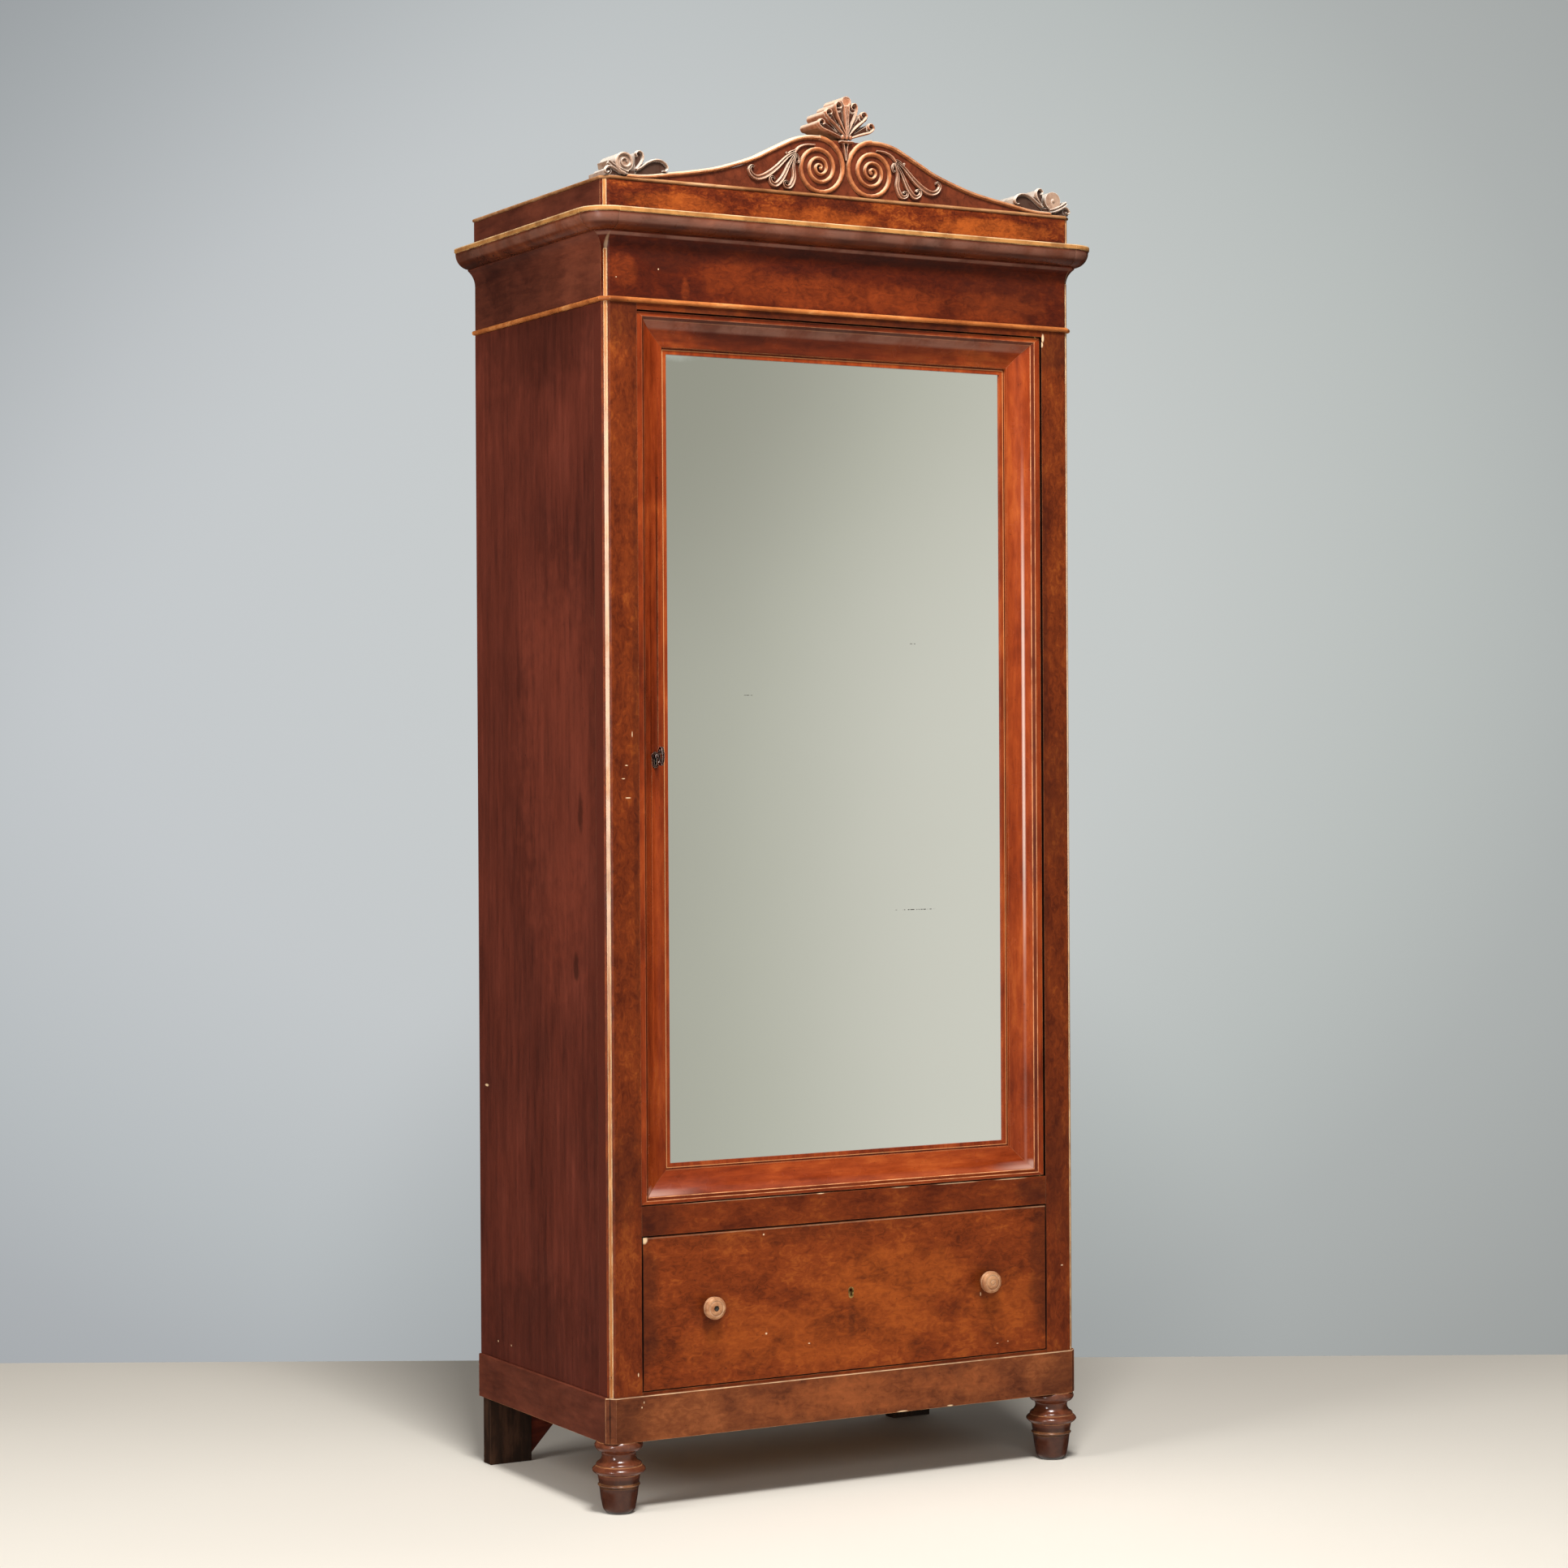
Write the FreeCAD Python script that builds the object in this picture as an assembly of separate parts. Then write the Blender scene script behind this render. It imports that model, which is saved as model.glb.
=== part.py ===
"""Bonnetiere: a tall one-door linen cupboard with a mirror door, one drawer and a carved pediment.

Millimetres, +Z up. X is the width, -X the lock side and +X the hinge side. The front looks along -Y.
The origin is on the floor, at the centre of the box that encloses the whole piece.
Depths in this file are counted from the face of the front stiles, positive to the back.
"""
import FreeCAD, Part
import math
import os

V = FreeCAD.Vector

# ---- overall sizes --------------------------------------------------------------------------------
BODY_WIDTH = 930.0
BODY_DEPTH = 518.0
CORNICE_OVERHANG = 40.0
CHAMFER = 11.0              # leg of the chamfer on both front corners, from plinth to attic

# ---- heights, from the floor up -------------------------------------------------------------------
FOOT_HEIGHT = 121.0
PLINTH_HEIGHT = 76.0
DRAWER_SILL = 6.5           # from the plinth to the drawer front, lipped in veneer below the gap
DRAWER_FRONT_HEIGHT = 257.0
MIDDLE_RAIL_HEIGHT = 50.0
DOOR_HEIGHT = 1492.0
TOP_RAIL_HEIGHT = 11.5
BEAD_HEIGHT = 8.0
FRIEZE_FLAT_HEIGHT = 79.0
FRIEZE_COVE_HEIGHT = 27.0
CORNICE_STEP = 2.5
OVOLO_HEIGHT = 27.5
FASCIA_HEIGHT = 8.0
ATTIC_HEIGHT = 50.0
ATTIC_MOULDING_HEIGHT = 6.0

# ---- boards and clearances ------------------------------------------------------------------------
STILE_WIDTH = 61.0
STILE_DEPTH = 40.0
SIDE_THICKNESS = 22.0
BACK_THICKNESS = 10.0
BACK_PLANKS = 5
SHELF_THICKNESS = 18.0
FLOOR_THICKNESS = 18.0
SHELF_SETBACK = 60.0
SHELF_COUNT = 3
SHELF_SIDE_GAP = 0.5
BATTEN_WIDTH = 18.0
BATTEN_HEIGHT = 25.0
DOOR_GAP = 1.5              # at the sides and below
DOOR_TOP_GAP = 2.0
DRAWER_GAP = 1.5
RUN_GAP = 0.3               # between parts that slide or turn beside each other

# ---- plinth and feet ------------------------------------------------------------------------------
PLINTH_PROUD = 4.3
PLINTH_THICKNESS = 22.0
PLINTH_NOSE = 2.0
CORNER_BLOCK = 80.0
FRONT_FOOT_INSET_X = 31.0
FRONT_FOOT_INSET_Y = 31.0
FOOT_RADIUS = 45.0          # widest ring
FOOT_DOWEL_RADIUS = 12.0
FOOT_DOWEL_LENGTH = 40.0
DOWEL_FIT = 0.2
REAR_FOOT_WIDTH = 81.0
REAR_FOOT_DEPTH = 29.0
REAR_FOOT_INSET = 4.0
BRACKET_REACH = 101.0
BRACKET_HEIGHT = 109.0
BRACKET_THICKNESS = 20.0

# ---- crown ----------------------------------------------------------------------------------------
CROWN_BOARD = 18.0
BEAD_PROUD = 6.2
COVE_PROUD = 14.0
OVOLO_FOOT = 15.0
OVOLO_TOP = 38.0
OVOLO_BULGE = 0.2           # height of the ovolo's arc over its chord, as a share of the chord
ATTIC_PROUD = 1.3
ATTIC_BOARD = 16.0
CROWN_TOP_THICKNESS = 12.0
CORNER_STRIP_WIDTH = 7.0
CORNER_STRIP_PROUD = 1.5
CORNER_STRIP_BEVEL = 0.8

# ---- pediment -------------------------------------------------------------------------------------
PEDIMENT_THICKNESS = 24.0
EDGE_MOULDING = 8.0         # height of the moulding along the top curve
RELIEF = 6.0                # how far carving stands in front of the board
VOLUTE_EYE_X = 52.0
VOLUTE_EYE_RISE = 44.5      # eye above the attic moulding
VOLUTE_START_RADIUS = 56.4
VOLUTE_SHRINK = 0.758       # spiral law: radius + pole, times this, each turn
VOLUTE_POLE = 30.0
VOLUTE_TURNS = 3.25
VOLUTE_RIDGE = 8.0
VOLUTE_TAPER = 1.35         # the ridge narrows by this much each turn
PEDIMENT_PEAK = 94.0        # flat top of the board behind the volutes, above the attic moulding
SPRAY_NODE_RADIUS = 4.5
PALMETTE_DEPTH = 75.0
ACROTERION_DEPTH = 66.0
BOSS_RADIUS = 16.0
BOSS_INSET = 38.0           # boss centre inside the body's side
BOSS_RISE = 24.0
PATTERN_UNIT = 1.0          # one step of the carver's squared drawing

# ---- door -----------------------------------------------------------------------------------------
DOOR_RECESS = 5.0           # the door's outer margin lies behind the stiles
DOOR_THICKNESS = 38.0
DOOR_MARGIN_SIDE = 10.5
DOOR_MARGIN_BOTTOM = 5.5
DOOR_MARGIN_TOP = 7.5
MOULDING_WIDTH = 47.0       # sunk cove of the frame, from the margin to the slip
MOULDING_DEPTH = 21.0
FACET_WIDTH = 5.5
FACET_DEPTH = 5.0
REBATE_LAP = 6.0            # slip, glass and board reach this far behind the cove
SLIP_VISIBLE = 11.0
SLIP_THICKNESS = 3.0
GLASS_THICKNESS = 4.0
BACKBOARD_THICKNESS = 5.0
GLASS_PLAY = 1.0

# ---- pivot hinges ---------------------------------------------------------------------------------
PIVOT_FROM_EDGE = 6.0
PIVOT_FROM_FACE = 4.0
PIVOT_PIN_RADIUS = 2.5
PIVOT_PIN_LENGTH = 6.0
PIVOT_FIT = 0.05
HINGE_PLATE_LENGTH = 40.0
HINGE_PLATE_WIDTH = 13.0
HINGE_PLATE_THICKNESS = 2.5
HINGE_PLATE_EDGE = 0.7      # metal left in front of the pin

# ---- locks and key --------------------------------------------------------------------------------
KEY_BACKSET = 39.5          # keyhole centre from the door's edge
KEY_HEIGHT = 749.5          # keyhole centre above the door's bottom edge
KEY_SHANK_RADIUS = 2.8
KEY_BIT_REACH = 8.5
KEY_BIT_LENGTH = 5.0
KEY_BIT_THICKNESS = 2.4
KEY_BIT_PLAY = 1.0
KEY_NECK_LENGTH = 11.5      # from the bow to the keyhole plate
KEY_COLLAR_RADIUS = 4.1
KEY_COLLAR_FROM_BOW = 4.0
KEY_COLLAR_LENGTH = 2.0
KEY_BOW_HEIGHT = 32.0
KEY_BOW_LENGTH = 18.0
KEY_BOW_THICKNESS = 4.0
KEY_BOW_BAR = 4.5
KEYHOLE_RADIUS = 3.3
KEYHOLE_SLOT_WIDTH = 3.2
KEYHOLE_SLOT_LENGTH = 15.0
ESCUTCHEON_RADIUS = 7.2
ESCUTCHEON_FOOT_RADIUS = 6.2
ESCUTCHEON_DROP = 13.0
ESCUTCHEON_PROUD = 5.5      # in front of the cove's deepest line
LOCK_HEIGHT = 80.0
LOCK_DEPTH = 14.0
LOCK_WALL = 1.5
LOCK_LEDGE = 1.0            # wood left between the lock and the mirror's rebate
BOLT_HEIGHT = 16.0
BOLT_THICKNESS = 6.0
BOLT_RISE = 10.0            # bolt's lower edge above the key
BOLT_LENGTH = 36.0
BOLT_THROW = 10.0
BOLT_INSET = 0.2            # bolt's end behind the door's edge when drawn back
MORTISE_PLAY = 1.5

# ---- drawer ---------------------------------------------------------------------------------------
DRAWER_FRONT_THICKNESS = 22.0
DRAWER_SIDE_THICKNESS = 12.0
DRAWER_SIDE_HEIGHT = 215.0
DRAWER_SIDE_INSET = 4.5     # side's outer face inside the front's end
DRAWER_BACK_GAP = 38.0      # free depth behind the drawer box
DRAWER_BOTTOM_THICKNESS = 8.0
DRAWER_BOTTOM_RISE = 6.0
DRAWER_GROOVE = 5.0
RUNNER_THICKNESS = 5.0
RUNNER_WIDTH = 30.0
GUIDE_WIDTH = 20.0
GUIDE_HEIGHT = 35.0
GUIDE_GAP = 0.8
KNOB_SPREAD = 552.0
KNOB_RISE = 131.0           # knob centre above the drawer front's bottom edge
KNOB_RADIUS = 19.5
KNOB_LENGTH = 25.0
KNOB_NECK_RADIUS = 8.5
KNOB_FLANGE_RADIUS = 12.0
SCREW_RADIUS = 1.8
SCREW_HEAD_RADIUS = 3.4
SCREW_LENGTH = 40.0
SCREW_FIT = 0.2
SCREW_SINK = 2.0            # depth of the seat for the screw's head
DRAWER_KEY_RISE = 137.0     # keyhole's round part above the drawer front's bottom edge
DRAWER_SLOT_LENGTH = 10.0
DRAWER_ESCUTCHEON_RADIUS = 5.6
DRAWER_ESCUTCHEON_FOOT_RADIUS = 4.8
DRAWER_ESCUTCHEON_DROP = 9.0
DRAWER_ESCUTCHEON_DEPTH = 3.0
DRAWER_LOCK_WIDTH = 70.0
DRAWER_LOCK_HEIGHT = 60.0
DRAWER_LOCK_DEPTH = 14.0
DRAWER_BOLT_WIDTH = 16.0
DRAWER_BOLT_THICKNESS = 5.0
DRAWER_BOLT_THROW = 8.0
STAPLE_HEIGHT = 14.0
STAPLE_WALL = 3.0

# ---- levels and planes that follow from the sizes above --------------------------------------------
HALF = BODY_WIDTH / 2
FRONT = CORNICE_OVERHANG - (BODY_DEPTH + CORNICE_OVERHANG) / 2
BACK = BODY_DEPTH
INNER = HALF - SIDE_THICKNESS
OPENING = HALF - STILE_WIDTH
Z_PLINTH = FOOT_HEIGHT
Z_BODY = Z_PLINTH + PLINTH_HEIGHT
Z_DRAWER = Z_BODY + DRAWER_SILL
Z_DRAWER_TOP = Z_DRAWER + DRAWER_FRONT_HEIGHT
Z_RAIL = Z_DRAWER_TOP + DRAWER_GAP
Z_FLOOR = Z_RAIL + MIDDLE_RAIL_HEIGHT
Z_DOOR = Z_FLOOR + DOOR_GAP
Z_DOOR_TOP = Z_DOOR + DOOR_HEIGHT
Z_TOP_RAIL = Z_DOOR_TOP + DOOR_TOP_GAP
Z_BODY_TOP = Z_TOP_RAIL + TOP_RAIL_HEIGHT
Z_FRIEZE = Z_BODY_TOP + BEAD_HEIGHT
Z_COVE = Z_FRIEZE + FRIEZE_FLAT_HEIGHT
Z_COVE_TOP = Z_COVE + FRIEZE_COVE_HEIGHT
Z_CORNICE = Z_COVE_TOP + CORNICE_STEP
Z_FASCIA = Z_CORNICE + OVOLO_HEIGHT
Z_ATTIC = Z_FASCIA + FASCIA_HEIGHT
Z_ATTIC_MOULDING = Z_ATTIC + ATTIC_HEIGHT
Z_PEDIMENT = Z_ATTIC_MOULDING + ATTIC_MOULDING_HEIGHT
DOOR_HALF = OPENING - DOOR_GAP
DOOR_BACK = DOOR_RECESS + DOOR_THICKNESS
TOP_BOARD_FRONT = DOOR_BACK + DOOR_GAP
BACK_FACE = BACK - BACK_THICKNESS
REBATE_DEPTH = SLIP_THICKNESS + GLASS_THICKNESS + BACKBOARD_THICKNESS
REBATE_FRONT = DOOR_BACK - REBATE_DEPTH
KEY_X = -(DOOR_HALF - KEY_BACKSET)
KEY_Z = Z_DOOR + KEY_HEIGHT
PIVOT_X = DOOR_HALF - PIVOT_FROM_EDGE
PIVOT_Y = DOOR_RECESS + PIVOT_FROM_FACE
Z_BOTTOM_BOARD_TOP = Z_BODY + FLOOR_THICKNESS
BOTTOM_BOARD_FRONT = DRAWER_FRONT_THICKNESS + 2 * DRAWER_GAP
Z_DRAWER_SIDE = Z_BOTTOM_BOARD_TOP + RUNNER_THICKNESS + RUN_GAP
DRAWER_END = BACK_FACE - DRAWER_BACK_GAP
DRAWER_HALF = OPENING - DRAWER_GAP
DRAWER_SIDE_OUT = DRAWER_HALF - DRAWER_SIDE_INSET
DRAWER_SIDE_IN = DRAWER_SIDE_OUT - DRAWER_SIDE_THICKNESS
DRAWER_KEY_Z = Z_DRAWER + DRAWER_KEY_RISE


# ---- helpers --------------------------------------------------------------------------------------
def block(x0, x1, y0, y1, z0, z1):
    """A square-edged board between two corners; y0 and y1 are depths behind the stile face."""
    return Part.makeBox(x1 - x0, y1 - y0, z1 - z0, V(x0, FRONT + y0, z0))


def rod(radius, length, base, direction):
    """A round bar; the base's y is a depth behind the stile face."""
    return Part.makeCylinder(radius, length, V(base[0], FRONT + base[1], base[2]), direction)


def other_side(shape):
    """The mirror image across the middle of the cupboard."""
    return shape.mirror(V(0, 0, 0), V(1, 0, 0))


def outline(start, *steps):
    """A closed wire of (a, b) points; a step of two points is an arc through the first to the second."""
    edges = []
    here = start
    for step in steps + (start,):
        if isinstance(step[0], tuple):
            middle, end = step
            edges.append(Part.Arc(V(*here, 0), V(*middle, 0), V(*end, 0)).toShape())
            here = end
        elif (V(*here, 0) - V(*step, 0)).Length > 1e-6:
            edges.append(Part.LineSegment(V(*here, 0), V(*step, 0)).toShape())
            here = step
    return Part.Wire(edges)


def placed(shape, a_axis, b_axis, base):
    """Moves a flat shape drawn in (a, b) so that a and b run along the given axes from the base."""
    normal = a_axis.cross(b_axis)
    matrix = FreeCAD.Matrix(
        a_axis.x, b_axis.x, normal.x, base.x,
        a_axis.y, b_axis.y, normal.y, base.y,
        a_axis.z, b_axis.z, normal.z, base.z,
        0, 0, 0, 1)
    moved = shape.copy()
    moved.Placement = FreeCAD.Placement(matrix)
    return moved


def frontal_prism(wire, y0, y1):
    """An outline drawn in (x, z), cut through the depths y0 to y1."""
    face = placed(Part.Face(wire), V(1, 0, 0), V(0, 0, 1), V(0, FRONT + y0, 0))
    return face.extrude(V(0, y1 - y0, 0))


def smooth_edge(points):
    curve = Part.BSplineCurve()
    curve.interpolate([V(x, z, 0) for x, z in points])
    return curve.toShape()


def band_wire(left, right):
    """The closed outline of a band between two smooth borders that run the same way."""
    first = smooth_edge(left)
    second = smooth_edge(right)
    start = Part.LineSegment(V(*left[0], 0), V(*right[0], 0)).toShape()
    end = Part.LineSegment(V(*left[-1], 0), V(*right[-1], 0)).toShape()
    return Part.Wire(Part.__sortEdges__([first, end, second, start]))


def ribbon(points, widths, y0, y1):
    """A carved stem: a band of changing width along a smooth line in (x, z)."""
    line = Part.BSplineCurve()
    line.interpolate([V(x, z, 0) for x, z in points])
    low, high = line.FirstParameter, line.LastParameter
    count = 4 * (len(points) - 1) + 1
    widths = [width * PATTERN_UNIT for width in widths]
    left, right = [], []
    for i in range(count):
        share = i / (count - 1)
        place = low + (high - low) * share
        at = line.value(place)
        tangent = V(*line.tangent(place)[0])
        across = V(-tangent.y, tangent.x, 0)
        spot = share * (len(widths) - 1)
        index = min(int(spot), len(widths) - 2)
        width = widths[index] + (widths[index + 1] - widths[index]) * (spot - index)
        left.append((at.x + across.x * width / 2, at.y + across.y * width / 2))
        right.append((at.x - across.x * width / 2, at.y - across.y * width / 2))
    return frontal_prism(band_wire(left, right), y0, y1)


def disc(x, z, radius, y0, y1):
    return rod(radius, y1 - y0, (x, y0, z), V(0, 1, 0))


def fused(shapes):
    """One solid from overlapping or touching shapes, joined one after another."""
    whole = shapes[0]
    for shape in shapes[1:]:
        whole = whole.fuse(shape)
    return whole.removeSplitter()


def save(node, shape):
    solids = shape.Solids
    result = solids[0] if len(solids) == 1 else Part.makeCompound(solids)
    result.exportStep("parts/" + node + ".step")
    print(f"{node}: {len(solids)} solid(s), {shape.Volume / 1000:.1f} cm3, valid {shape.isValid()}")


# ---- mouldings that run round the front and both sides ----------------------------------------------
FRONT_PATH = [
    (-HALF, BACK), (-HALF, CHAMFER), (-HALF + CHAMFER, 0),
    (HALF - CHAMFER, 0), (HALF, CHAMFER), (HALF, BACK)]


def outward(p, q):
    run = V(q[0] - p[0], q[1] - p[1], 0).normalize()
    return V(run.y, -run.x, 0)


def moulding_run(section, index, reach_in, reach_out):
    """One straight stretch of FRONT_PATH with mitred ends; section is a wire in (outward, z)."""
    p, q = FRONT_PATH[index], FRONT_PATH[index + 1]
    start = V(p[0], FRONT + p[1], 0)
    end = V(q[0], FRONT + q[1], 0)
    normal = outward(p, q)
    run = V(end - start).normalize()
    spare = reach_out
    face = placed(Part.Face(section), normal, V(0, 0, 1), start - run * spare)
    bar = face.extrude(run * ((end - start).Length + 2 * spare))
    mitres = []
    for k, here in ((index - 1, start), (index + 1, end)):
        if 0 <= k < len(FRONT_PATH) - 1:
            beside = outward(FRONT_PATH[k], FRONT_PATH[k + 1])
            mitre = (normal + beside) * (1 / (1 + normal.dot(beside)))
        else:
            mitre = normal
        mitres.append((here - mitre * reach_in, here + mitre * reach_out))
    corners = [mitres[0][0], mitres[0][1], mitres[1][1], mitres[1][0], mitres[0][0]]
    plan = Part.Face(Part.makePolygon(corners))
    wedge = plan.extrude(V(0, 0, Z_PEDIMENT))
    return bar.common(wedge)


def around_front(section, reach_in, reach_out):
    """A moulding as three pieces: the front with both chamfered corners, the left and right returns."""
    runs = [moulding_run(section, i, reach_in, reach_out) for i in range(len(FRONT_PATH) - 1)]
    left, front_left, front, front_right, right = runs
    return fused([front_left, front, front_right]), left, right


# ---- plinth and feet --------------------------------------------------------------------------------
def plinth_section():
    inner = PLINTH_PROUD - PLINTH_THICKNESS
    nose = PLINTH_PROUD - PLINTH_NOSE
    inset = PLINTH_NOSE * (1 - math.cos(math.pi / 4))
    return outline(
        (inner, Z_PLINTH), (PLINTH_PROUD, Z_PLINTH), (PLINTH_PROUD, Z_BODY - PLINTH_NOSE),
        ((PLINTH_PROUD - inset, Z_BODY - inset), (nose, Z_BODY)), (inner, Z_BODY))


def make_plinth():
    front, left, right = around_front(plinth_section(), PLINTH_THICKNESS - PLINTH_PROUD, 2 * PLINTH_PROUD)
    save("plinth_front", front)
    save("plinth_returns", Part.makeCompound([left, right]))
    inside = HALF + PLINTH_PROUD - PLINTH_THICKNESS
    rail = block(-inside, inside, BACK - PLINTH_THICKNESS, BACK, Z_PLINTH, Z_BODY)
    save("plinth_back_rail", rail)
    corners = [corner.cut(front) for corner in corner_blocks(inside)]
    save("plinth_corner_blocks", Part.makeCompound(corners))


def corner_blocks(inside):
    front_face = PLINTH_THICKNESS - PLINTH_PROUD
    back_face = BACK - PLINTH_THICKNESS
    blocks = []
    for side in (-1, 1):
        x0, x1 = sorted((side * inside, side * (inside - CORNER_BLOCK)))
        front = block(x0, x1, front_face, front_face + CORNER_BLOCK, Z_PLINTH, Z_BODY)
        foot = (side * (HALF - FRONT_FOOT_INSET_X), FRONT_FOOT_INSET_Y, Z_PLINTH)
        bore = rod(FOOT_DOWEL_RADIUS + DOWEL_FIT, FOOT_DOWEL_LENGTH + DOWEL_FIT, foot, V(0, 0, 1))
        blocks.append(front.cut(bore))
        blocks.append(block(x0, x1, back_face - CORNER_BLOCK, back_face, Z_PLINTH, Z_BODY))
    return blocks


def foot_profile():
    """Half section of the turned foot, in shares of its widest radius and its height."""
    def at(across, up):
        return (across * FOOT_RADIUS, up * FOOT_HEIGHT)

    peg = FOOT_HEIGHT + FOOT_DOWEL_LENGTH
    tapered_leg = [at(0.42, 0), (at(0.57, 0.03), at(0.62, 0.09)), at(0.73, 0.355), at(0.73, 0.37)]
    small_ring = [at(0.79, 0.39), at(0.78, 0.41), at(0.75, 0.42), at(0.8, 0.52)]
    wide_ring = [at(0.86, 0.53), (at(1, 0.607), at(0.86, 0.68)), at(0.745, 0.695)]
    neck_and_cap = [(at(0.63, 0.76), at(0.655, 0.835)), at(0.81, 0.876), (at(0.91, 0.938), at(0.833, 1))]
    dowel = [(FOOT_DOWEL_RADIUS, FOOT_HEIGHT), (FOOT_DOWEL_RADIUS, peg), (0, peg)]
    return outline((0, 0), *tapered_leg, *small_ring, *wide_ring, *neck_and_cap, *dowel)


def make_feet():
    turned = placed(Part.Face(foot_profile()), V(1, 0, 0), V(0, 0, 1), V(0, 0, 0))
    turned = turned.revolve(V(0, 0, 0), V(0, 0, 1), 360)
    feet = []
    for side in (-1, 1):
        foot = turned.copy()
        foot.translate(V(side * (HALF - FRONT_FOOT_INSET_X), FRONT + FRONT_FOOT_INSET_Y, 0))
        feet.append(foot)
    save("front_feet", Part.makeCompound(feet))
    outer = HALF - REAR_FOOT_INSET
    inner = outer - REAR_FOOT_WIDTH
    rear = block(inner, outer, BACK - REAR_FOOT_DEPTH, BACK, 0, Z_PLINTH)
    save("rear_feet", Part.makeCompound([other_side(rear), rear]))
    middle = BACK - REAR_FOOT_DEPTH / 2
    wedge = outline(
        (inner, Z_PLINTH), (inner - BRACKET_REACH, Z_PLINTH), (inner, Z_PLINTH - BRACKET_HEIGHT))
    bracket = frontal_prism(wedge, middle - BRACKET_THICKNESS / 2, middle + BRACKET_THICKNESS / 2)
    save("rear_foot_brackets", Part.makeCompound([other_side(bracket), bracket]))


# ---- carcass ----------------------------------------------------------------------------------------
def make_sides():
    side = block(INNER, HALF, STILE_DEPTH, BACK, Z_BODY, Z_BODY_TOP)
    rebate = block(INNER, INNER + SIDE_THICKNESS / 2, BACK_FACE, BACK, Z_BODY, Z_BODY_TOP)
    side = side.cut(rebate)
    save("left_side_board", other_side(side))
    save("right_side_board", side)


def make_back():
    half = INNER + SIDE_THICKNESS / 2
    width = 2 * half / BACK_PLANKS
    planks = []
    for i in range(BACK_PLANKS):
        x0 = -half + i * width
        planks.append(block(x0, x0 + width, BACK_FACE, BACK, Z_BODY, Z_BODY_TOP))
    save("back_boards", Part.makeCompound(planks))


def make_stiles():
    """Front posts with a chamfered outer corner; the left one has the mortise for the door's bolt."""
    plan = outline(
        (OPENING, 0), (HALF - CHAMFER, 0), (HALF, CHAMFER), (HALF, STILE_DEPTH), (OPENING, STILE_DEPTH))
    base = V(0, FRONT, Z_BODY)
    right = placed(Part.Face(plan), V(1, 0, 0), V(0, 1, 0), base).extrude(V(0, 0, Z_BODY_TOP - Z_BODY))
    bolt = door_bolt_box()
    left = other_side(right).cut(block(
        -OPENING - BOLT_THROW - MORTISE_PLAY, -OPENING,
        bolt[0] - MORTISE_PLAY / 2, bolt[1] + MORTISE_PLAY / 2,
        bolt[2] - MORTISE_PLAY / 2, bolt[3] + MORTISE_PLAY / 2))
    save("front_stiles", Part.makeCompound([left, right]))


def make_corner_strips():
    """Flat light-wood fillets glued on the chamfers of body, frieze and attic."""
    strips = []
    half = CORNER_STRIP_WIDTH / 2
    crest = half - CORNER_STRIP_BEVEL
    flat = outline((0, -half), (CORNER_STRIP_PROUD, -crest), (CORNER_STRIP_PROUD, crest), (0, half))
    out = V(1, -1, 0).normalize()
    along = V(1, 1, 0).normalize()
    body = (Z_BODY, Z_BODY_TOP, 0)
    frieze = (Z_FRIEZE, Z_COVE, 0)
    attic = (Z_ATTIC, Z_ATTIC_MOULDING, ATTIC_PROUD)
    for low, high, proud in (body, frieze, attic):
        middle = V(HALF - CHAMFER / 2, FRONT + CHAMFER / 2, low) + out * proud
        strip = placed(Part.Face(flat), out, along, middle).extrude(V(0, 0, high - low))
        strips += [other_side(strip), strip]
    save("corner_strips", Part.makeCompound(strips))


def make_rails():
    plate = hinge_plate_box()
    middle = block(-OPENING, OPENING, 0, STILE_DEPTH, Z_RAIL, Z_FLOOR)
    middle = middle.cut(block(*plate, Z_FLOOR - HINGE_PLATE_THICKNESS, Z_FLOOR))
    bolt_half = DRAWER_BOLT_WIDTH / 2 + MORTISE_PLAY / 2
    bolt_front = drawer_bolt_front() - MORTISE_PLAY / 2
    bolt_back = drawer_bolt_front() + DRAWER_BOLT_THICKNESS + MORTISE_PLAY / 2
    mortise_top = Z_RAIL + DRAWER_BOLT_THROW + MORTISE_PLAY
    mortise = block(-bolt_half, bolt_half, bolt_front, bolt_back, Z_RAIL, mortise_top)
    save("middle_rail", middle.cut(mortise))
    top = block(-OPENING, OPENING, 0, TOP_BOARD_FRONT, Z_TOP_RAIL, Z_BODY_TOP)
    save("top_rail", top.cut(block(*plate, Z_TOP_RAIL, Z_TOP_RAIL + HINGE_PLATE_THICKNESS)))


def make_boards():
    bottom = fused([
        block(-OPENING, OPENING, BOTTOM_BOARD_FRONT, STILE_DEPTH, Z_BODY, Z_BOTTOM_BOARD_TOP),
        block(-INNER, INNER, STILE_DEPTH, BACK_FACE, Z_BODY, Z_BOTTOM_BOARD_TOP)])
    lipping = block(-OPENING, OPENING, 0, BOTTOM_BOARD_FRONT, Z_BODY, Z_DRAWER - DRAWER_GAP)
    save("carcass_bottom_board", Part.makeCompound([bottom, lipping]))
    floor = block(-INNER, INNER, STILE_DEPTH, BACK_FACE, Z_FLOOR - FLOOR_THICKNESS, Z_FLOOR)
    save("compartment_floor", floor)
    top = block(-INNER, INNER, TOP_BOARD_FRONT, BACK_FACE, Z_BODY_TOP - FLOOR_THICKNESS, Z_BODY_TOP)
    save("carcass_top_board", top)


def shelf_levels():
    """Undersides of the loose shelves, which divide the space behind the door evenly."""
    low = Z_FLOOR
    high = Z_BODY_TOP - FLOOR_THICKNESS
    clear = (high - low - SHELF_COUNT * SHELF_THICKNESS) / (SHELF_COUNT + 1)
    return [low + (i + 1) * clear + i * SHELF_THICKNESS for i in range(SHELF_COUNT)]


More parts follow.
